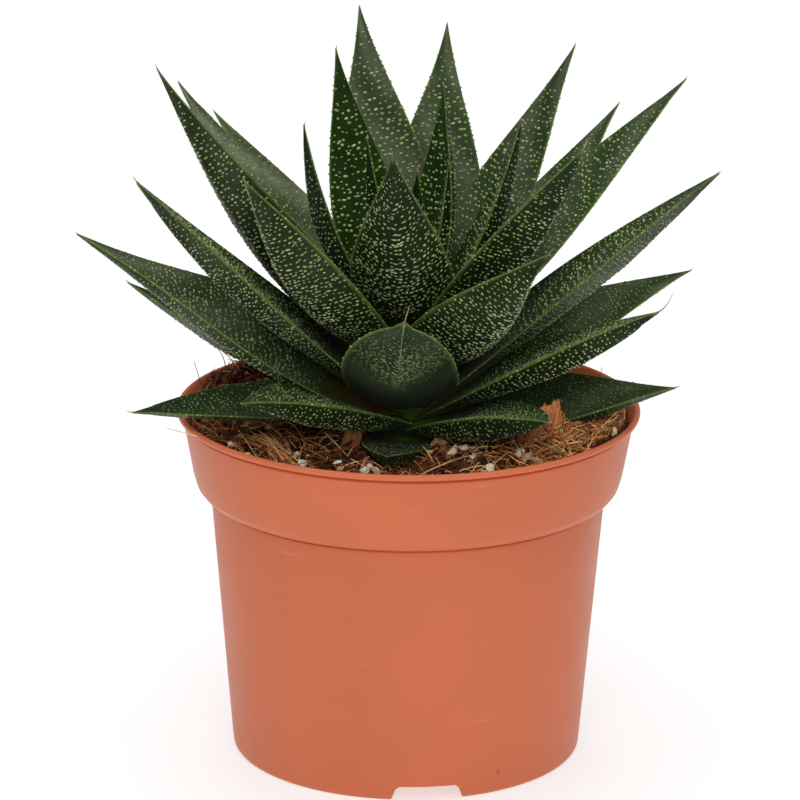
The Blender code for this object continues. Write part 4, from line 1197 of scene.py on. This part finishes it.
def make_fibres(surface, ground, draw):
    """Coir fibres all over and in a mat, then in the heap, then in a bundle that leans at the left."""
    parts = []
    while len(parts) < FIBRE_COUNT:
        place = ground.open_place(draw, (15.0, SOIL_REACH), 0.7)[:2]
        in_mat = len(parts) > FIBRE_COUNT - MAT_FIBRES
        if in_mat:
            place = draw.normal(MAT_PLACE, MAT_SPREAD)
            if math.hypot(*place) > SOIL_REACH:
                continue
        colour = FIBRE_TINTS[draw.integers(len(FIBRE_TINTS))] * draw.uniform(0.5, 1.6)
        length, lift = draw.uniform(3.0, 10.0), draw.uniform(0.0, 1.2)
        radius, slope = draw.uniform(0.09, 0.20), draw.uniform(-0.3, 3.2)
        turn, curl = draw.uniform(0, 360), draw.uniform(-35, 35)
        if in_mat:
            colour, length, radius, slope = colour * 1.15, length * 1.1, radius * 1.35, slope * 1.4
        part = strand(ground, place, turn, length, radius, lift, slope, curl, colour, draw)
        if ground.clears(part):
            parts.append(part)
    while len(parts) < FIBRE_COUNT + HEAP_FIBRES:
        place = draw.normal(HEAP_PLACE, HEAP_SPREAD)
        if math.hypot(*place) > 53.0:
            continue
        colour = HEAP_TINTS[draw.integers(len(HEAP_TINTS))] * draw.uniform(0.8, 1.4)
        turn, length = draw.uniform(0, 360), draw.uniform(2.0, 6.0)
        part = strand(ground, place, turn, length, 0.12, 0.6, 0.8, 60.0, colour, draw)
        if ground.clears(part):
            parts.append(part)
    for _ in range(BUNDLE_STRANDS):
        foot = np.array(BUNDLE_FOOT) + draw.normal(0.0, 2.2, 2)
        top = np.array(BUNDLE_TOP) + draw.normal(0.0, 2.4, 2)
        low, high = ground.spot(*foot, -0.4), ground.spot(*top, draw.uniform(0.6, 3.0))
        middle = (low + high) / 2 + (0.0, 0.0, draw.uniform(0.5, 1.6))
        colour = FIBRE_TINTS[draw.integers(4)] * draw.uniform(0.9, 1.5)
        path = smooth_path([low, middle, high], BUNDLE_STEPS)
        part = tube(path, np.linspace(0.22, 0.10, BUNDLE_STEPS), 5, colour)
        if ground.clears(part):
            parts.append(part)
    build_mesh("coir_fibres", surface, "soil", *joined(parts))


def slab(size, narrowing, ridges, bow, low_tint, high_tint, draw, columns=15, rows=20):
    """A torn, ridged, bowed plate on its lower edge, with its points about the middle of that edge."""
    wide, thick, tall = size
    up, across = np.meshgrid(np.linspace(0, 1, rows), np.linspace(-1, 1, columns), indexing="ij")
    narrow = 1.0 - narrowing * up**1.3
    torn = 0.09 * np.sin(3.6 * across + 1.4) + draw.uniform(-0.05, 0.05, columns)
    x = across * wide / 2 * narrow * (1.0 + draw.uniform(-0.06, 0.06, up.shape))
    z = up * tall * (1.0 + torn * up)
    ridge = ridges * (np.sin(across * 19.0 + 2.5 * up) + draw.uniform(-0.6, 0.6, up.shape))
    curve = bow * (1.0 - across**2) + 0.12 * tall * up**2
    body = thick / 2 * np.sqrt(np.maximum(0.05, 1.0 - 0.9 * across**2)) * (1.0 - 0.4 * up)
    front = np.stack([x, curve - body - ridge, z], axis=-1).reshape(-1, 3)
    back = np.stack([x, curve + body + 0.6 * ridge, z], axis=-1).reshape(-1, 3)
    count = rows * columns
    index = np.arange(count).reshape(rows, columns)
    corners = [index[:-1, :-1], index[:-1, 1:], index[1:, 1:], index[1:, :-1]]
    quads = np.stack(corners, axis=-1).reshape(-1, 4)
    border = np.concatenate([index[0], index[1:, -1], index[-1, -2::-1], index[-2:0:-1, 0]])
    beside = np.roll(border, -1)
    edge = np.stack([beside, border, count + border, count + beside], axis=-1)
    streaks = np.tile(draw.uniform(0.60, 1.25, columns), 2 * rows)[:, None]
    tint = mix(low_tint, high_tint, np.tile(up.ravel(), 2)) * streaks
    tint = tint * draw.uniform(0.86, 1.12, (2 * count, 1))
    return np.concatenate([front, back]), [quads, count + quads[:, ::-1], edge], tint


def stood(part, foot, turn, back_lean, right_lean):
    """The part turned, leaned and stood on its foot."""
    spin = Matrix.Rotation(math.radians(turn), 3, "Z") @ Matrix.Rotation(math.radians(-back_lean), 3, "X")
    spin = spin @ Matrix.Rotation(math.radians(right_lean), 3, "Y")
    return part[0] @ np.array(spin).T + foot, part[1], part[2]


def make_husk(surface, ground):
    """A torn, ridged piece of coconut husk that stands in the soil at the right front."""
    draw = np.random.default_rng(5)
    husk = slab(HUSK_SIZE, 0.60, 0.34, 1.2, HUSK_LOW, HUSK_TOP, draw, 25, 30)
    husk = stood(husk, ground.spot(*HUSK_PLACE, -2.5), 14.0, 16.0, 26.0)
    build_mesh("husk_piece", surface, "soil", *husk)


def make_flakes(surface, ground):
    """Torn flakes of bark: one that stands at the left front and others that lie about."""
    draw = np.random.default_rng(9)
    flake = slab(FLAKE_SIZE, 0.10, 0.12, 1.0, BARK_TINTS[0], CLUMP_TINTS[0], draw)
    parts = [stood(flake, ground.spot(*FLAKE_PLACE, -1.2), -20.0, 12.0, 12.0)]
    while len(parts) < FLAKE_COUNT:
        x, y, _ = ground.open_place(draw, (24.0, 52.0), 2.5)
        size = (draw.uniform(2.5, 5.0), draw.uniform(0.6, 1.1), draw.uniform(3.0, 6.0))
        tints = (BARK_TINTS[draw.integers(3)], BARK_TINTS[draw.integers(3)])
        flake = slab(size, 0.3, 0.08, 0.5, *tints, draw, 7, 8)
        lean = draw.uniform(62.0, 84.0)
        flake = stood(flake, ground.spot(x, y, 0.2), draw.uniform(0, 360), lean, 0.0)
        if ground.clears(flake) and np.hypot(flake[0][:, 0], flake[0][:, 1]).max() < SOIL_REACH:
            parts.append(flake)
    build_mesh("bark_flakes", surface, "soil", *joined(parts))


def make_soil_details(ground):
    draw = np.random.default_rng(21)
    fibrous = tinted_material("coir fibre", 0.7, 700.0, 0.85, 1.35, 0.1)
    barky = tinted_material("bark", 0.85, 800.0, 0.6, 1.35, 0.3)
    make_crumbs(tinted_material("crumbled coir", 0.95, 900.0, 0.6, 1.4, 0.3), ground, draw)
    make_chips(barky, ground, draw)
    make_perlite(tinted_material("perlite", 0.9, 1500.0, 0.92, 1.12, 0.35), ground, draw)
    make_fibres(fibrous, ground, draw)
    make_roots(fibrous, ground)
    make_husk(fibrous, ground)
    make_flakes(barky, ground)


def paint_stem():
    surface, _, shader = new_material("stem skin", 0.6)
    set_inputs(shader, Base_Color=(*SKIN_BASE, 1.0))
    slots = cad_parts["stem"].data.materials
    slots.clear()
    slots.append(surface)


# Studio


def make_floor():
    surface, _, shader = new_material("studio floor", 0.8, 0.2)
    set_inputs(shader, Base_Color=FLOOR_COLOUR, Emission_Color=WHITE, Emission_Strength=FLOOR_GLOW)
    mesh = bpy.data.meshes.new("studio_floor")
    corners = ((-1, -1), (1, -1), (1, 1), (-1, 1))
    mesh.from_pydata([(x * FLOOR_REACH, y * FLOOR_REACH, 0) for x, y in corners], [], [(0, 1, 2, 3)])
    mesh.materials.append(surface)
    floor = add_object("studio_floor", mesh)


def make_lights():
    for name, place, size, power, seen_in_gloss in SOFTBOXES:
        lamp = bpy.data.lights.new(name, "AREA")
        lamp.shape = "RECTANGLE"
        lamp.size, lamp.size_y = size
        lamp.energy = power
        made = add_object(name, lamp)
        made.location = place
        made.rotation_euler = (Vector(SOFTBOX_TARGET) - Vector(place)).to_track_quat("-Z", "Y").to_euler()
        made.visible_glossy = seen_in_gloss
    world = bpy.data.worlds.new("studio")
    world.use_nodes = True
    set_inputs(world.node_tree.nodes["Background"], Color=WHITE, Strength=WORLD_STRENGTH)
    bpy.context.scene.world = world
    bpy.context.scene.view_settings.view_transform = "Standard"


def make_camera():
    data = bpy.data.cameras.new("camera")
    data.sensor_width = SENSOR_WIDTH
    data.lens = CAMERA_LENS
    data.clip_start, data.clip_end = 0.05, 20.0
    camera = add_object("camera", data)
    back = Vector(headings(0.0, CAMERA_RISE))
    right = Vector((1.0, 0.0, 0.0))
    up = back.cross(right)
    roll = math.radians(CAMERA_ROLL)
    tilted_right = right * math.cos(roll) + up * math.sin(roll)
    axes = Matrix((tilted_right, back.cross(tilted_right), back)).transposed()
    place = (Vector(CAMERA_TARGET) + back * CAMERA_DISTANCE) * MM
    camera.matrix_world = Matrix.Translation(place) @ axes.to_4x4()
    bpy.context.scene.camera = camera


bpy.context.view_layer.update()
make_leaves(leaf_material())
make_pot(pot_material())
leaf_tree = cad_leaf_tree()
soil_tree = make_soil(tinted_material("soil bed", 0.95, 700.0, 0.5, 1.4, 0.4), leaf_tree)
make_soil_details(Ground(soil_tree, leaf_tree))
paint_stem()
make_floor()
make_lights()
make_camera()
